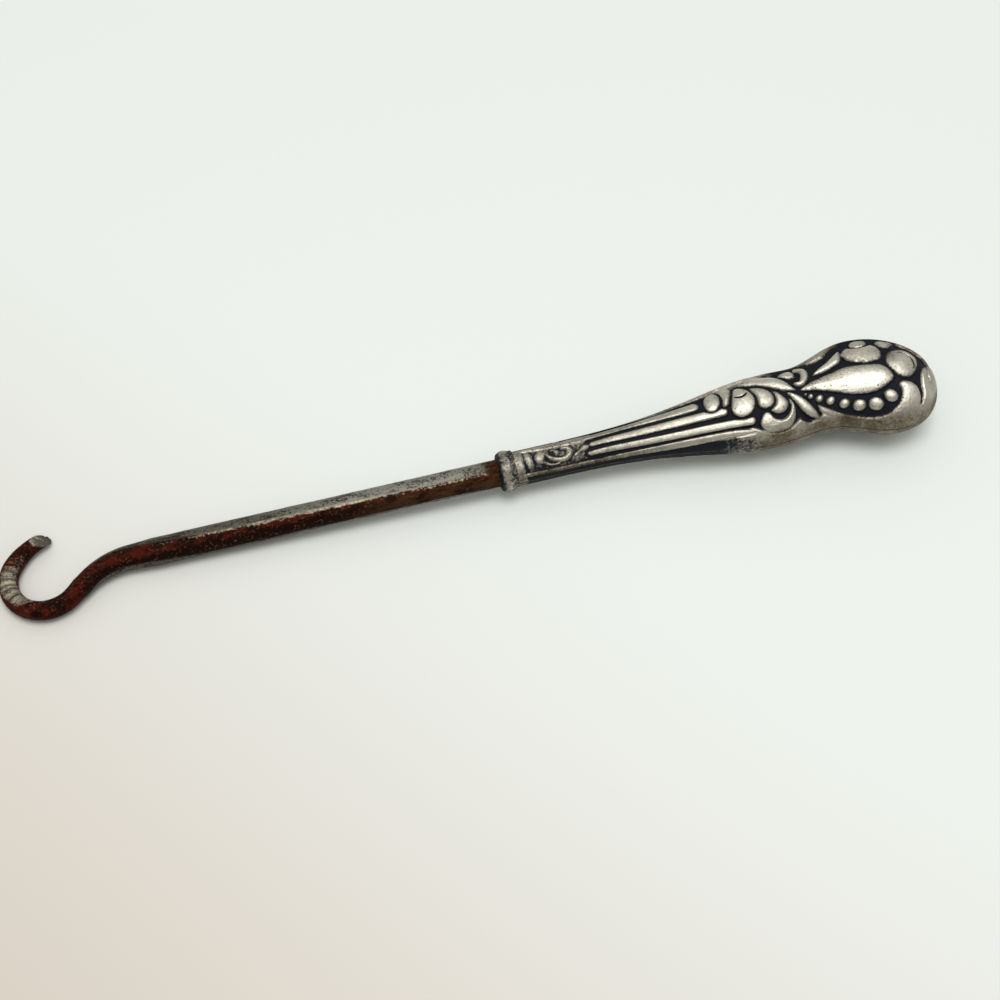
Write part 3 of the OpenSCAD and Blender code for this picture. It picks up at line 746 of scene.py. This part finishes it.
bpy.ops.mesh.spin(steps=lip_steps, angle=lip_turn, center=lip_c * MM, axis=(0, 0, 1))
for _ in range(tip_steps):
    extrude_ring(tip_way * tip_grind / tip_steps)
bpy.ops.object.mode_set(mode="OBJECT")
print("rod of", len(hook.data.vertices) // ring_sides, "rings")


# %% The rod's middle line
def arc_points(centre, radius, start, end, count):
    """Points along an arc, from one angle to another."""
    sweep = np.linspace(start, end, count)
    return np.column_stack([centre[0] + radius * np.cos(sweep), centre[1] + radius * np.sin(sweep)])


shank_path = np.array([(x, 0) for x in np.linspace(tang_end, crank_x, 400)[:-1]])
crank_path = arc_points((crank_x, -crank_r), crank_r, math.pi / 2, math.pi / 2 + crank_angle, 40)
bowl_path = arc_points(bowl_c, bowl_r, bowl_from, bowl_end, 160)
lip_path = arc_points(lip_c, lip_r, bowl_end, lip_end, 80)
tip_path = lip_path[-1] + np.outer(np.linspace(0, tip_grind, 9)[1:], tip_way[:2])
path = np.vstack([shank_path, crank_path, bowl_path, lip_path, tip_path])
run = np.concatenate([[0], np.cumsum(np.linalg.norm(np.diff(path, axis=0), axis=1))])


def nearest_on_path(places):
    """Which point of the rod's middle line each place lies nearest to."""
    return ((places[:, None, :2] - path[None]) ** 2).sum(-1).argmin(1)


print("rod runs", round(run[-1], 1), "mm from the tang's point to the tip")

# %% Taper the rod and leave the hammer's unevenness
uneven_most = 0.05
uneven_scale = 0.45
taper_from = tang_end - crank_x - taper_run
rod_end = run[-1] - tip_grind
points = np.empty(len(hook.data.vertices) * 3, np.float32)
hook.data.vertices.foreach_get("co", points)
points = points.reshape(-1, 3).astype(float) / MM
nearest = nearest_on_path(points)
middle = np.column_stack([path[nearest], np.zeros(len(points))])
bowl_starts = run[len(shank_path) + len(crank_path)]
lip_starts = run[len(shank_path) + len(crank_path) + len(bowl_path)]
rod_r = np.interp(run[nearest], [taper_from - 0.1, taper_from, bowl_starts, lip_starts, rod_end],
                  [shank_r, shank_r - forge_step, bowl_rod_r, bowl_rod_r, tip_r])
nose = np.clip((run[nearest] - rod_end) / tip_grind, 0, 1) * math.sqrt(1 - tip_ratio ** 2)
rod_r = rod_r * np.sqrt(1 - nose ** 2)
in_handle = points[:, 0] > mouth_x - 1
unevenness = np.array([noise.fractal(Vector(p) * uneven_scale, 1.0, 2.0, 3) for p in points])
uneven_depth = uneven_most * (0.6 + 0.5 * unevenness)
share = np.where(in_handle, 1, (rod_r - uneven_depth) / shank_r)
points = middle + (points - middle) * share[:, None]
hook.data.vertices.foreach_set("co", (points * MM).astype(np.float32).ravel())
hook.data.update()
print("rod tapers to", 2 * bowl_rod_r, "mm round the bowl and", 2 * tip_r, "mm at the tip")

# %% Grind the tip
close_up(hook)
tip = Vector((*path[-1], 0))
ground_reach = 5.0
facet_lean = math.radians(50)
facet_back = 0.5
facet_merge = 0.1
facet_bevel = 0.05
crease_angle = math.radians(40)
facet_way = math.cos(facet_lean) * tip_way + math.sin(facet_lean) * Vector((0, 0, 1))
facet_edge = tip - facet_back * tip_way - Vector((0, 0, tip_r))
bpy.ops.object.mode_set(mode="EDIT")
bpy.ops.mesh.select_mode(type="FACE")
bpy.ops.mesh.select_all(action="DESELECT")
bpy.ops.object.mode_set(mode="OBJECT")
for face in hook.data.polygons:
    face.select = (face.center / MM - tip).length < ground_reach
bpy.ops.object.mode_set(mode="EDIT")
bpy.ops.mesh.bisect(plane_co=facet_edge * MM, plane_no=facet_way, use_fill=True, clear_outer=True)
bpy.ops.mesh.remove_doubles(threshold=facet_merge * MM)
bpy.ops.mesh.bevel(offset=facet_bevel * MM, segments=2, affect="EDGES")
bpy.ops.mesh.select_all(action="DESELECT")
bpy.ops.object.mode_set(mode="OBJECT")
bpy.ops.object.shade_smooth_by_angle(angle=crease_angle)
print("hook: %.0f cubic mm, %d triangles" % volume_of(hook))

# %% [markdown]
# ## The bead ring at the mouth
# The collar is a short ring of half-round wire soldered over the neck. Its section is drawn as a circle,
# flattened against the neck and drawn out into a thin sleeve, and spun round the shank. Long wear has left
# it lumpy.

# %% The collar's section
collar_rise = 0.75
collar_len = 2.6
collar_bead_r = 1.1
collar_sleeve = 0.35
collar_lip = 0.4
collar_gap = 0.05
collar_edge = 0.1
bead_steps = 26
lip_bore = shank_r + shank_gap
neck_bore = neck_half + collar_gap
collar_x = mouth_x - collar_lip
bead_middle = neck_half + collar_rise - collar_bead_r
sleeve_r = neck_bore + collar_sleeve
bead_start = math.pi + math.asin((bead_middle - lip_bore) / collar_bead_r)
bead_stop = math.asin((sleeve_r - bead_middle) / collar_bead_r)
bead = arc_points((collar_bead_r, bead_middle), collar_bead_r, bead_start, bead_stop, bead_steps)
section = bead.tolist()
section += [(2 * collar_bead_r, sleeve_r), (collar_len - collar_edge, sleeve_r)]
section += [(collar_len, sleeve_r - collar_edge), (collar_len, neck_bore)]
section += [(x, neck_bore) for x in (2.0, 1.4, 0.9, collar_lip)]
section += [(collar_lip, lip_bore)]
print("section drawn with", len(section), "points")

# %% Spin the collar and wear it lumpy
collar_steps = 120
collar_wear = 0.34
lump_scale = 0.5
bpy.ops.object.select_all(action="DESELECT")
bpy.ops.mesh.primitive_circle_add(vertices=len(section), radius=collar_bead_r * MM, fill_type="NOTHING")
collar = bpy.context.object
collar.name = collar.data.name = "bead_collar"
for vertex, (x, r) in zip(collar.data.vertices, section):
    vertex.co = ((collar_x + x) * MM, r * MM, 0)
bpy.ops.object.mode_set(mode="EDIT")
bpy.ops.mesh.select_all(action="SELECT")
bpy.ops.mesh.spin(steps=collar_steps, angle=2 * math.pi, center=(0, 0, 0), axis=(1, 0, 0))
bpy.ops.object.mode_set(mode="OBJECT")
for vertex in collar.data.vertices:
    r = math.hypot(vertex.co.y, vertex.co.z) / MM
    lump = 0.5 + 0.5 * noise.fractal(vertex.co / MM * lump_scale, 1.0, 2.0, 3)
    raised = min(max((r - neck_bore) / collar_rise, 0), 1)
    drawn_in = 1 - collar_wear * raised * lump / r
    vertex.co = (vertex.co.x, vertex.co.y * drawn_in, vertex.co.z * drawn_in)
close_up(collar, merge=1e-6)
print("collar: %.1f cubic mm, %d triangles" % volume_of(collar))

# %% [markdown]
# ## Finishes
# Silver is bright where hands rub it and black where sulphur has been left in the hollows. The shader
# mixes three states by the skin's own attributes and some noise: polished metal, brown tarnish and black
# oxide; the brown and the black also carry painted shade under the near ridge, on the underside, on the
# boss and in the creases. The steel is worn grey on top, with old rust in streaks along the rod, a
# painted highlight line, a painted reflection of the table along its underside and painted shade
# blackening its rust below. All patterns sit on Object coordinates, in metres.


# %% Helpers: new finishes, noise and attributes
def new_finish(name):
    """A new material, its node tree and its shader."""
    material = bpy.data.materials.new(name)
    material.use_nodes = True
    return material, material.node_tree, material.node_tree.nodes["Principled BSDF"]


def feed(tree, socket, value):
    """Links a socket to a socket, or sets its constant."""
    if isinstance(value, bpy.types.NodeSocket):
        tree.links.new(value, socket)
    else:
        socket.default_value = value


def add_noise(tree, scale, detail=4.0, rough=0.6, stretch=(1, 1, 1)):
    """Noise on the object's own coordinates; scale counts its features per metre."""
    place = tree.nodes.new("ShaderNodeTexCoord")
    mapping = tree.nodes.new("ShaderNodeMapping")
    mapping.inputs["Scale"].default_value = stretch
    texture = tree.nodes.new("ShaderNodeTexNoise")
    texture.inputs["Scale"].default_value = scale
    texture.inputs["Detail"].default_value = detail
    texture.inputs["Roughness"].default_value = rough
    tree.links.new(place.outputs["Object"], mapping.inputs["Vector"])
    tree.links.new(mapping.outputs["Vector"], texture.inputs["Vector"])
    return texture.outputs["Fac"]


def attribute(tree, name):
    """Reads one of the piece's own attributes."""
    reader = tree.nodes.new("ShaderNodeAttribute")
    reader.attribute_name = name
    return reader.outputs["Fac"]


print("helpers ready: new_finish, feed, add_noise, attribute")


# %% Helpers: arithmetic, colours and bumps
def calc(tree, operation, a, b=0.0, clamp=False):
    """Arithmetic on two sockets or numbers."""
    maths = tree.nodes.new("ShaderNodeMath")
    maths.operation = operation
    maths.use_clamp = clamp
    feed(tree, maths.inputs[0], a)
    feed(tree, maths.inputs[1], b)
    return maths.outputs[0]


def span(tree, value, low, high, out_low=0.0, out_high=1.0):
    """Maps low to high onto out_low to out_high, softly and clamped."""
    node = tree.nodes.new("ShaderNodeMapRange")
    node.interpolation_type = "SMOOTHSTEP"
    for socket, number in zip(node.inputs[1:5], (low, high, out_low, out_high)):
        socket.default_value = number
    feed(tree, node.inputs[0], value)
    return node.outputs[0]


def blend_colours(tree, factor, a, b):
    """Colour a where the factor is 0 and colour b where it is 1."""
    mix = tree.nodes.new("ShaderNodeMix")
    mix.data_type = "RGBA"
    feed(tree, mix.inputs[0], factor)
    feed(tree, mix.inputs[6], a if isinstance(a, bpy.types.NodeSocket) else (*a, 1))
    feed(tree, mix.inputs[7], b if isinstance(b, bpy.types.NodeSocket) else (*b, 1))
    return mix.outputs[2]


def off_middle(tree, texture, amount=1.0):
    """Noise moved to lie round 0, times an amount."""
    moved = calc(tree, "SUBTRACT", texture, 0.5)
    return moved if amount == 1.0 else calc(tree, "MULTIPLY", moved, amount)


def add_bump(tree, shader, height, strength, distance):
    """Fine unevenness of the surface, in metres."""
    bump = tree.nodes.new("ShaderNodeBump")
    bump.inputs["Strength"].default_value = strength
    bump.inputs["Distance"].default_value = distance
    tree.links.new(height, bump.inputs["Height"])
    tree.links.new(bump.outputs["Normal"], shader.inputs["Normal"])


print("helpers ready: calc, span, blend_colours, off_middle, add_bump")

# %% Old silver: its colour
bright_silver = (0.74, 0.70, 0.60)
# The brown tarnish and the black oxide also lay painted shade, where the skin's numbers carry it.
brown_tarnish_and_shade = (0.11, 0.083, 0.048)
black_oxide_and_shade = (0.009, 0.011, 0.016)
silver, tree, shader = new_finish("old_silver")
blotches = add_noise(tree, 260, 4)
speckle = add_noise(tree, 2200, 5, 0.7)
pits = add_noise(tree, 3600, 2, 0.5)
hollow_at = attribute(tree, "hollow")
uneven = calc(tree, "ADD", off_middle(tree, blotches), off_middle(tree, speckle))
tarnish_and_shade_film = calc(tree, "ADD", attribute(tree, "tarnish_and_shade"), calc(tree, "MULTIPLY", uneven, 0.8), True)
mottle = calc(tree, "ADD", off_middle(tree, speckle, 0.7), off_middle(tree, blotches, 0.4))
oxide_and_shade = span(tree, calc(tree, "ADD", hollow_at, mottle), 0.42, 0.74)
pitted = calc(tree, "MULTIPLY", span(tree, pits, 0.62, 0.7), span(tree, hollow_at, 0.03, 0.3))
oxide_and_shade = calc(tree, "MAXIMUM", oxide_and_shade, pitted)
shade_and_stain = calc(tree, "ADD", attribute(tree, "under_ridge_shade_and_stain"), calc(tree, "MULTIPLY", uneven, 1.1))
oxide_and_shade = calc(tree, "MAXIMUM", oxide_and_shade, span(tree, shade_and_stain, 0.25, 0.75))
colour = blend_colours(tree, tarnish_and_shade_film, bright_silver, brown_tarnish_and_shade)
colour = blend_colours(tree, oxide_and_shade, colour, black_oxide_and_shade)
tree.links.new(colour, shader.inputs["Base Color"])
print("silver mixes polish, tarnish and oxide")

# %% Old silver: its gloss
tree.links.new(span(tree, oxide_and_shade, 0, 1, 1.0, 0.4), shader.inputs["Metallic"])
rough = calc(tree, "ADD", span(tree, oxide_and_shade, 0, 1, 0.22, 0.5), calc(tree, "MULTIPLY", speckle, 0.2))
rough = calc(tree, "ADD", rough, calc(tree, "MULTIPLY", tarnish_and_shade_film, 0.12))
tree.links.new(rough, shader.inputs["Roughness"])
shader.inputs["Specular IOR Level"].default_value = 0.2
add_bump(tree, shader, calc(tree, "ADD", speckle, calc(tree, "MULTIPLY", blotches, 1.5)), 0.6, 0.0002)
print("finish made:", silver.name)

# %% Forged steel: the rust
red_rust = (0.06, 0.007, 0.0035)
brown_rust = (0.13, 0.055, 0.028)
earth_rust = (0.062, 0.028, 0.011)
black_scale_and_shade = (0.009, 0.003, 0.0018)
steel, tree, shader = new_finish("rusty_steel")
streaks = add_noise(tree, 700, 6, 0.75, (0.35, 1, 1))
patches = add_noise(tree, 620, 6, 0.75, (0.6, 1, 1))
grit = add_noise(tree, 2300, 5, 0.75)
to_handle = attribute(tree, "to_handle")
# Where the scale number is high the rust goes black: painted shade on the underside, over the real scale.
scale_and_shade = calc(tree, "ADD", patches, calc(tree, "MULTIPLY", attribute(tree, "scale"), 0.2))
earthy = calc(tree, "MULTIPLY", span(tree, to_handle, 0.5, 1.0), span(tree, streaks, 0.38, 0.58, 0.0, 0.9))
colour = blend_colours(tree, span(tree, scale_and_shade, 0.42, 0.56), red_rust, black_scale_and_shade)
colour = blend_colours(tree, span(tree, grit, 0.55, 0.65, 0.0, 0.8), colour, brown_rust)
colour = blend_colours(tree, earthy, colour, earth_rust)
print("rust in red, black, brown and, by the handle, earth")

# %% Forged steel: bare and rubbed metal over the rust, with a painted highlight line and a painted reflection of the table
rubbed_steel_and_highlight = (0.56, 0.47, 0.35)
grey_steel = (0.275, 0.268, 0.222)
dark_steel = (0.12, 0.113, 0.085)
uneven = calc(tree, "ADD", off_middle(tree, streaks), off_middle(tree, grit))
spots = calc(tree, "MULTIPLY", calc(tree, "ADD", grit, streaks), 0.5)
# The worn number holds the bare metal and the painted reflection of the table along the underside.
worn_and_reflection_at = attribute(tree, "worn")
bare_and_reflection = span(tree, calc(tree, "ADD", worn_and_reflection_at, calc(tree, "MULTIPLY", uneven, 1.5)), 0.34, 0.7)
bare_and_reflection = calc(tree, "MULTIPLY", bare_and_reflection, span(tree, worn_and_reflection_at, 0.0, 0.25, 0.15, 1.0))
dull_grey_and_reflection = blend_colours(tree, span(tree, to_handle, 0, 0.8), dark_steel, grey_steel)
dull_grey_and_reflection = blend_colours(tree, span(tree, spots, 0.47, 0.56, 0.0, 0.85), dull_grey_and_reflection, black_scale_and_shade)
colour = blend_colours(tree, bare_and_reflection, colour, dull_grey_and_reflection)
# The rubbed number holds the rubbed metal and the painted highlight line and glint.
rubbed_and_highlight_at = attribute(tree, "rubbed_and_highlight")
rubbed_and_highlight = span(tree, calc(tree, "ADD", rubbed_and_highlight_at, calc(tree, "MULTIPLY", uneven, 2.0)), 0.25, 0.9)
rubbed_and_highlight = calc(tree, "MULTIPLY", rubbed_and_highlight, span(tree, rubbed_and_highlight_at, 0.0, 0.25, 0.1, 1.0))
colour = blend_colours(tree, rubbed_and_highlight, colour, rubbed_steel_and_highlight)
print("grey and rubbed steel laid over the rust")

# %% Forged steel: black lines that run round the bowl, and the gloss
turn_line = tree.nodes.new("ShaderNodeCombineXYZ")
tree.links.new(attribute(tree, "run"), turn_line.inputs["X"])
scratches = tree.nodes.new("ShaderNodeTexNoise")
scratches.inputs["Scale"].default_value = 1.4
scratches.inputs["Detail"].default_value = 4
tree.links.new(turn_line.outputs["Vector"], scratches.inputs["Vector"])
broken_lines = calc(tree, "ADD", scratches.outputs["Fac"], calc(tree, "MULTIPLY", uneven, 0.6))
scratched = calc(tree, "MULTIPLY", span(tree, broken_lines, 0.46, 0.6), attribute(tree, "button_wear"))
colour = blend_colours(tree, calc(tree, "MULTIPLY", scratched, 0.85), colour, black_scale_and_shade)
tree.links.new(colour, shader.inputs["Base Color"])
metal = span(tree, calc(tree, "MAXIMUM", bare_and_reflection, rubbed_and_highlight), 0, 1, 0.0, 0.6)
tree.links.new(metal, shader.inputs["Metallic"])
rough = calc(tree, "ADD", span(tree, bare_and_reflection, 0, 1, 0.34, 0.3), calc(tree, "MULTIPLY", grit, 0.22))
tree.links.new(rough, shader.inputs["Roughness"])
shader.inputs["Specular IOR Level"].default_value = 0.03
add_bump(tree, shader, calc(tree, "ADD", grit, calc(tree, "MULTIPLY", streaks, 0.8)), 0.8, 0.0002)
print("finish made:", steel.name)

# %% Solder and pitch
dull_silver = (0.07, 0.06, 0.045)
dark_joint = (0.03, 0.026, 0.02)
solder, tree, shader = new_finish("dull_solder")
grain = add_noise(tree, 900, 4)
colour = blend_colours(tree, span(tree, grain, 0.35, 0.65), dull_silver, dark_joint)
tree.links.new(colour, shader.inputs["Base Color"])
tree.links.new(span(tree, grain, 0.3, 0.7, 0.35, 0.6), shader.inputs["Roughness"])
shader.inputs["Metallic"].default_value = 0.9
black_pitch = (0.05, 0.032, 0.02)
warm_pitch = (0.11, 0.07, 0.045)
pitch, tree, shader = new_finish("brown_pitch")
grain = add_noise(tree, 300, 5)
tree.links.new(blend_colours(tree, grain, black_pitch, warm_pitch), shader.inputs["Base Color"])
tree.links.new(span(tree, grain, 0.3, 0.7, 0.45, 0.8), shader.inputs["Roughness"])
add_bump(tree, shader, grain, 0.4, 0.0003)
print("finishes made:", solder.name, pitch.name)

# %% [markdown]
# ## Wear on the steel and the collar
# The rod is bare and grey on its leafy side, with a pale line above the rust that is a painted highlight,
# and a grey strip along its underside that is a painted reflection of the table. It rusts again where it
# enters the collar. Buttons ran in the bowl and rubbed it pale, and the ground tip is clean grey, with a
# painted glint by the facet's back edge. So each point of the rod gets numbers from where it lies and
# where it faces: one for bare metal and the painted reflection, one for rubbed metal and the painted
# highlight and glint, one for black rust with painted shade on the underside, button_wear and run for the
# lines round the bowl, and to_handle for the change towards the handle. The collar takes its black from
# how low it lies.

# %% The bare leafy side, its painted highlight line, and the painted reflection of the table underneath
normals = np.array([vertex.normal for vertex in hook.data.vertices])
places = np.array([vertex.co for vertex in hook.data.vertices]) / MM
rod_x = places[:, 0]
rod_y = places[:, 1]
leafy_way = np.array([0.0, 0.85, 0.53])
painted_highlight_half = 0.13
leafy_side = normals @ leafy_way
bare_from = np.interp(rod_x, [5, 12, 20, 28, 44, 60], [0.64, 0.58, 0.36, 0.1, 0.03, -0.06])
# Along the underside a grey strip of bare metal is a painted reflection of the table.
table_reflection_from = np.interp(rod_x, [3, 8, 16, 24], [0.85, 0.5, 0.5, 0.74])
worn = 0.9 * ramp(leafy_side, bare_from, bare_from + 0.4)
worn = np.maximum(worn, 0.75 * ramp(-leafy_side, table_reflection_from, table_reflection_from + 0.2))
# The pale line is a painted highlight of the lamp, laid as rubbed metal.
painted_highlight_line = np.interp(rod_x, [24, 34, 44, 52, 61], [0.44, 0.32, 0.32, 0.22, 0.13])
painted_highlight_most = np.interp(rod_x, [14, 24, 34, 48, 56, 66], [0, 0.44, 0.5, 0.7, 0.66, 0.58])
rubbed_and_highlight = painted_highlight_most * np.exp(-((leafy_side - painted_highlight_line) / painted_highlight_half) ** 2)
print("bare share of the rod:", round(float((worn > 0.5).mean()), 2))

# %% The bowl that buttons rubbed, and the rust by the collar
inward = -(normals[:, :2] * places[:, :2]).sum(1) / np.linalg.norm(places[:, :2], axis=1)
in_bowl = ramp(rod_x, 3, -4) * ramp(rod_y, -6.6, -3.2) * ramp(rod_y, 5.2, 0.2)
bowl_top = in_bowl * ramp(normals[:, 2] + 0.3 * inward, 0.15, 0.95)
in_hook = ramp(rod_x, 4, 1)
worn = (1 - in_hook) * worn + 0.85 * in_hook * bowl_top
rubbed_and_highlight = np.maximum(rubbed_and_highlight, 0.62 * bowl_top)
to_mouth = rod_x - mouth_x
by_collar = 0.4 * ramp(to_mouth, -9, -2) + 0.6 * ramp(to_mouth, -3.2, -1.6)
worn -= 0.6 * by_collar
rubbed_and_highlight *= 1 - 0.7 * by_collar
print("rubbed share of the rod:", round(float((rubbed_and_highlight > 0.3).mean()), 2))

# %% The ground tip, and the numbers for the finish
facet_near = 0.12
on_facet = np.abs((places - np.array(facet_edge)) @ np.array(facet_way)) < facet_near
on_facet &= np.linalg.norm(places - np.array(tip), axis=1) < ground_reach
past_tip = (places - np.array(tip)) @ np.array(tip_way)
facet_start = past_tip[on_facet].min()
# A painted glint brightens the facet near its back edge.
facet_rub_and_glint = 0.28 + 0.3 * ramp(past_tip, facet_start + 0.6, facet_start + 0.2)
add_attribute(hook, "worn", np.where(on_facet, 1.5, worn))
add_attribute(hook, "rubbed_and_highlight", np.where(on_facet, facet_rub_and_glint, rubbed_and_highlight))
# The scale number is painted shade: it blackens the rust on the rod's underside, turned away from the
# light.
add_attribute(hook, "scale", ramp(leafy_side, -0.05, -0.55) * ramp(rod_x, 4, 12))
add_attribute(hook, "button_wear", np.where(on_facet, 0, bowl_top))
add_attribute(hook, "to_handle", ramp(rod_x, 20, 65))
add_attribute(hook, "run", run[nearest_on_path(places)])
print("points on the ground facet:", int(on_facet.sum()))

# %% The collar's black and tarnish
radius = np.array([math.hypot(v.co.y, v.co.z) for v in collar.data.vertices]) / MM
black_below = neck_bore + 0.9 * collar_rise
low_black = ramp(radius, black_below, neck_bore)
add_attribute(collar, "hollow", 0.46 + 0.3 * low_black)
add_attribute(collar, "tarnish_and_shade", np.full(radius.shape, 0.45))
add_attribute(collar, "under_ridge_shade_and_stain", np.zeros(radius.shape))
print("collar blackened below", round(black_below, 2), "mm from its middle")

# %% Each piece takes its finish, its node's place and its body
for piece, node_name, finish, slot_name in (
    (hook, "hook_shank", steel, "steel"),
    (front, "front_shell", silver, "silver"),
    (back, "back_shell", silver, "silver"),
    (collar, "mouth_collar", silver, "silver"),
    (filling, "pitch_filling", pitch, "pitch"),
):
    piece.data.materials.clear()
    piece.data.materials.append(finish)
    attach(piece, "root")
    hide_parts(node_name)
seam_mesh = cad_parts["seam_solder"].data
seam_mesh.materials.clear()
seam_mesh.materials.append(solder)
print("pieces ride on root")

# %% [markdown]
# ## Floor, light and camera
# The tool lies on a pale table, held up by the pear's belly at one end and by the hook at the other, so
# the floor leans a little against the shank. One soft lamp hangs over the tool, a little behind it, and
# the room is pale above and on the far side and dim on the camera's side, which gives the silver its
# contrast.

# %% The floor under the pear and the hook
table_size = 6
pear_at = np.array(far_side["pear_at"])
pear_low = float(half_width(pear_at) * flatness(pear_at))
lean = math.atan2(pear_low - bowl_rod_r, mouth_x + far_side["pear_at"])
floor_up = Vector((math.sin(lean), 0, math.cos(lean)))
lowest = min(floor_up.dot(v.co) for piece in (hook, back, collar) for v in piece.data.vertices)
bpy.ops.object.select_all(action="DESELECT")
bpy.ops.mesh.primitive_plane_add(size=table_size, location=floor_up * lowest, rotation=(0, lean, 0))
floor = bpy.context.object
floor.name = "table"
print("floor leans", round(math.degrees(lean), 2), "degrees")

# %% The table's finish, warmer towards the near corner by the hook, and darker there as painted shade
table_white = (0.78, 0.81, 0.78)
# The warm colour is also darker, as painted shade towards the near corner.
warm_shaded_table = (0.63, 0.56, 0.49)
table, tree, shader = new_finish("pale_table")
place = tree.nodes.new("ShaderNodeTexCoord")
split = tree.nodes.new("ShaderNodeSeparateXYZ")
tree.links.new(place.outputs["Object"], split.inputs[0])
to_left = calc(tree, "MULTIPLY", split.outputs["X"], -0.74)
to_corner = calc(tree, "ADD", to_left, calc(tree, "MULTIPLY", split.outputs["Y"], -0.67))
colour = blend_colours(tree, span(tree, to_corner, -0.06, 0.07), table_white, warm_shaded_table)
tree.links.new(colour, shader.inputs["Base Color"])
shader.inputs["Roughness"].default_value = 0.6
floor.data.materials.append(table)
print("finish made:", table.name)

# %% The lamp
centre = Vector((0.5 * (cad_box[0][0] + cad_box[1][0]), 0, 0))
lamp_from_centre = Vector((0.07, -0.06, 0.95))
lamp_data = bpy.data.lights.new("ceiling_lamp", "AREA")
lamp_data.size = 0.5
lamp_data.energy = 4.7
lamp = bpy.data.objects.new("ceiling_lamp", lamp_data)
bpy.context.scene.collection.objects.link(lamp)
lamp.location = centre + lamp_from_centre
lamp.rotation_euler = (centre - lamp.location).to_track_quat("-Z", "Y").to_euler()
print("lamp at", tuple(round(v, 2) for v in lamp.location))

# %% The room
dim_side = (0.25, 0.25, 0.24)
pale_side = (1.0, 1.01, 0.98)
room = bpy.data.worlds.new("room")
bpy.context.scene.world = room
room.use_nodes = True
tree = room.node_tree
place = tree.nodes.new("ShaderNodeTexCoord")
split = tree.nodes.new("ShaderNodeSeparateXYZ")
tree.links.new(place.outputs["Generated"], split.inputs[0])
sky = tree.nodes["Background"]
to_window = calc(tree, "ADD", split.outputs["Z"], calc(tree, "MULTIPLY", split.outputs["Y"], 0.12))
colour = blend_colours(tree, span(tree, to_window, -0.1, 0.95), dim_side, pale_side)
tree.links.new(colour, sky.inputs["Color"])
sky.inputs["Strength"].default_value = 0.75
print("room strength", sky.inputs["Strength"].default_value)

# %% Camera at the photograph's viewing angle
tilt = math.radians(1.7)
camera_height = math.radians(58)
swing = math.radians(14.2)
view_angle = math.radians(35)
sensor_width = 36
camera_far = 245.35 * MM
target = Vector((69.92, -4.85, 0)) * MM
leaning = Matrix.Rotation(tilt, 3, "Y")
ahead = Vector((math.sin(swing), math.cos(swing), 0)) * math.cos(camera_height)
forward = leaning @ (ahead - Vector((0, 0, math.sin(camera_height))))
right = leaning @ Vector((math.cos(swing), -math.sin(swing), 0))
upright = right.cross(forward)
camera_data = bpy.data.cameras.new("camera")
camera_data.sensor_width = sensor_width
camera_data.lens = sensor_width / 2 / math.tan(view_angle / 2)
camera_data.clip_start = 0.01
camera = bpy.data.objects.new("camera", camera_data)
bpy.context.scene.collection.objects.link(camera)
turned = Matrix((right, upright, -forward)).transposed().to_4x4()
camera.matrix_world = Matrix.Translation(target - forward * camera_far) @ turned
bpy.context.scene.camera = camera
bpy.context.scene.view_settings.view_transform = "Standard"
print("lens", round(camera_data.lens, 2), "mm")
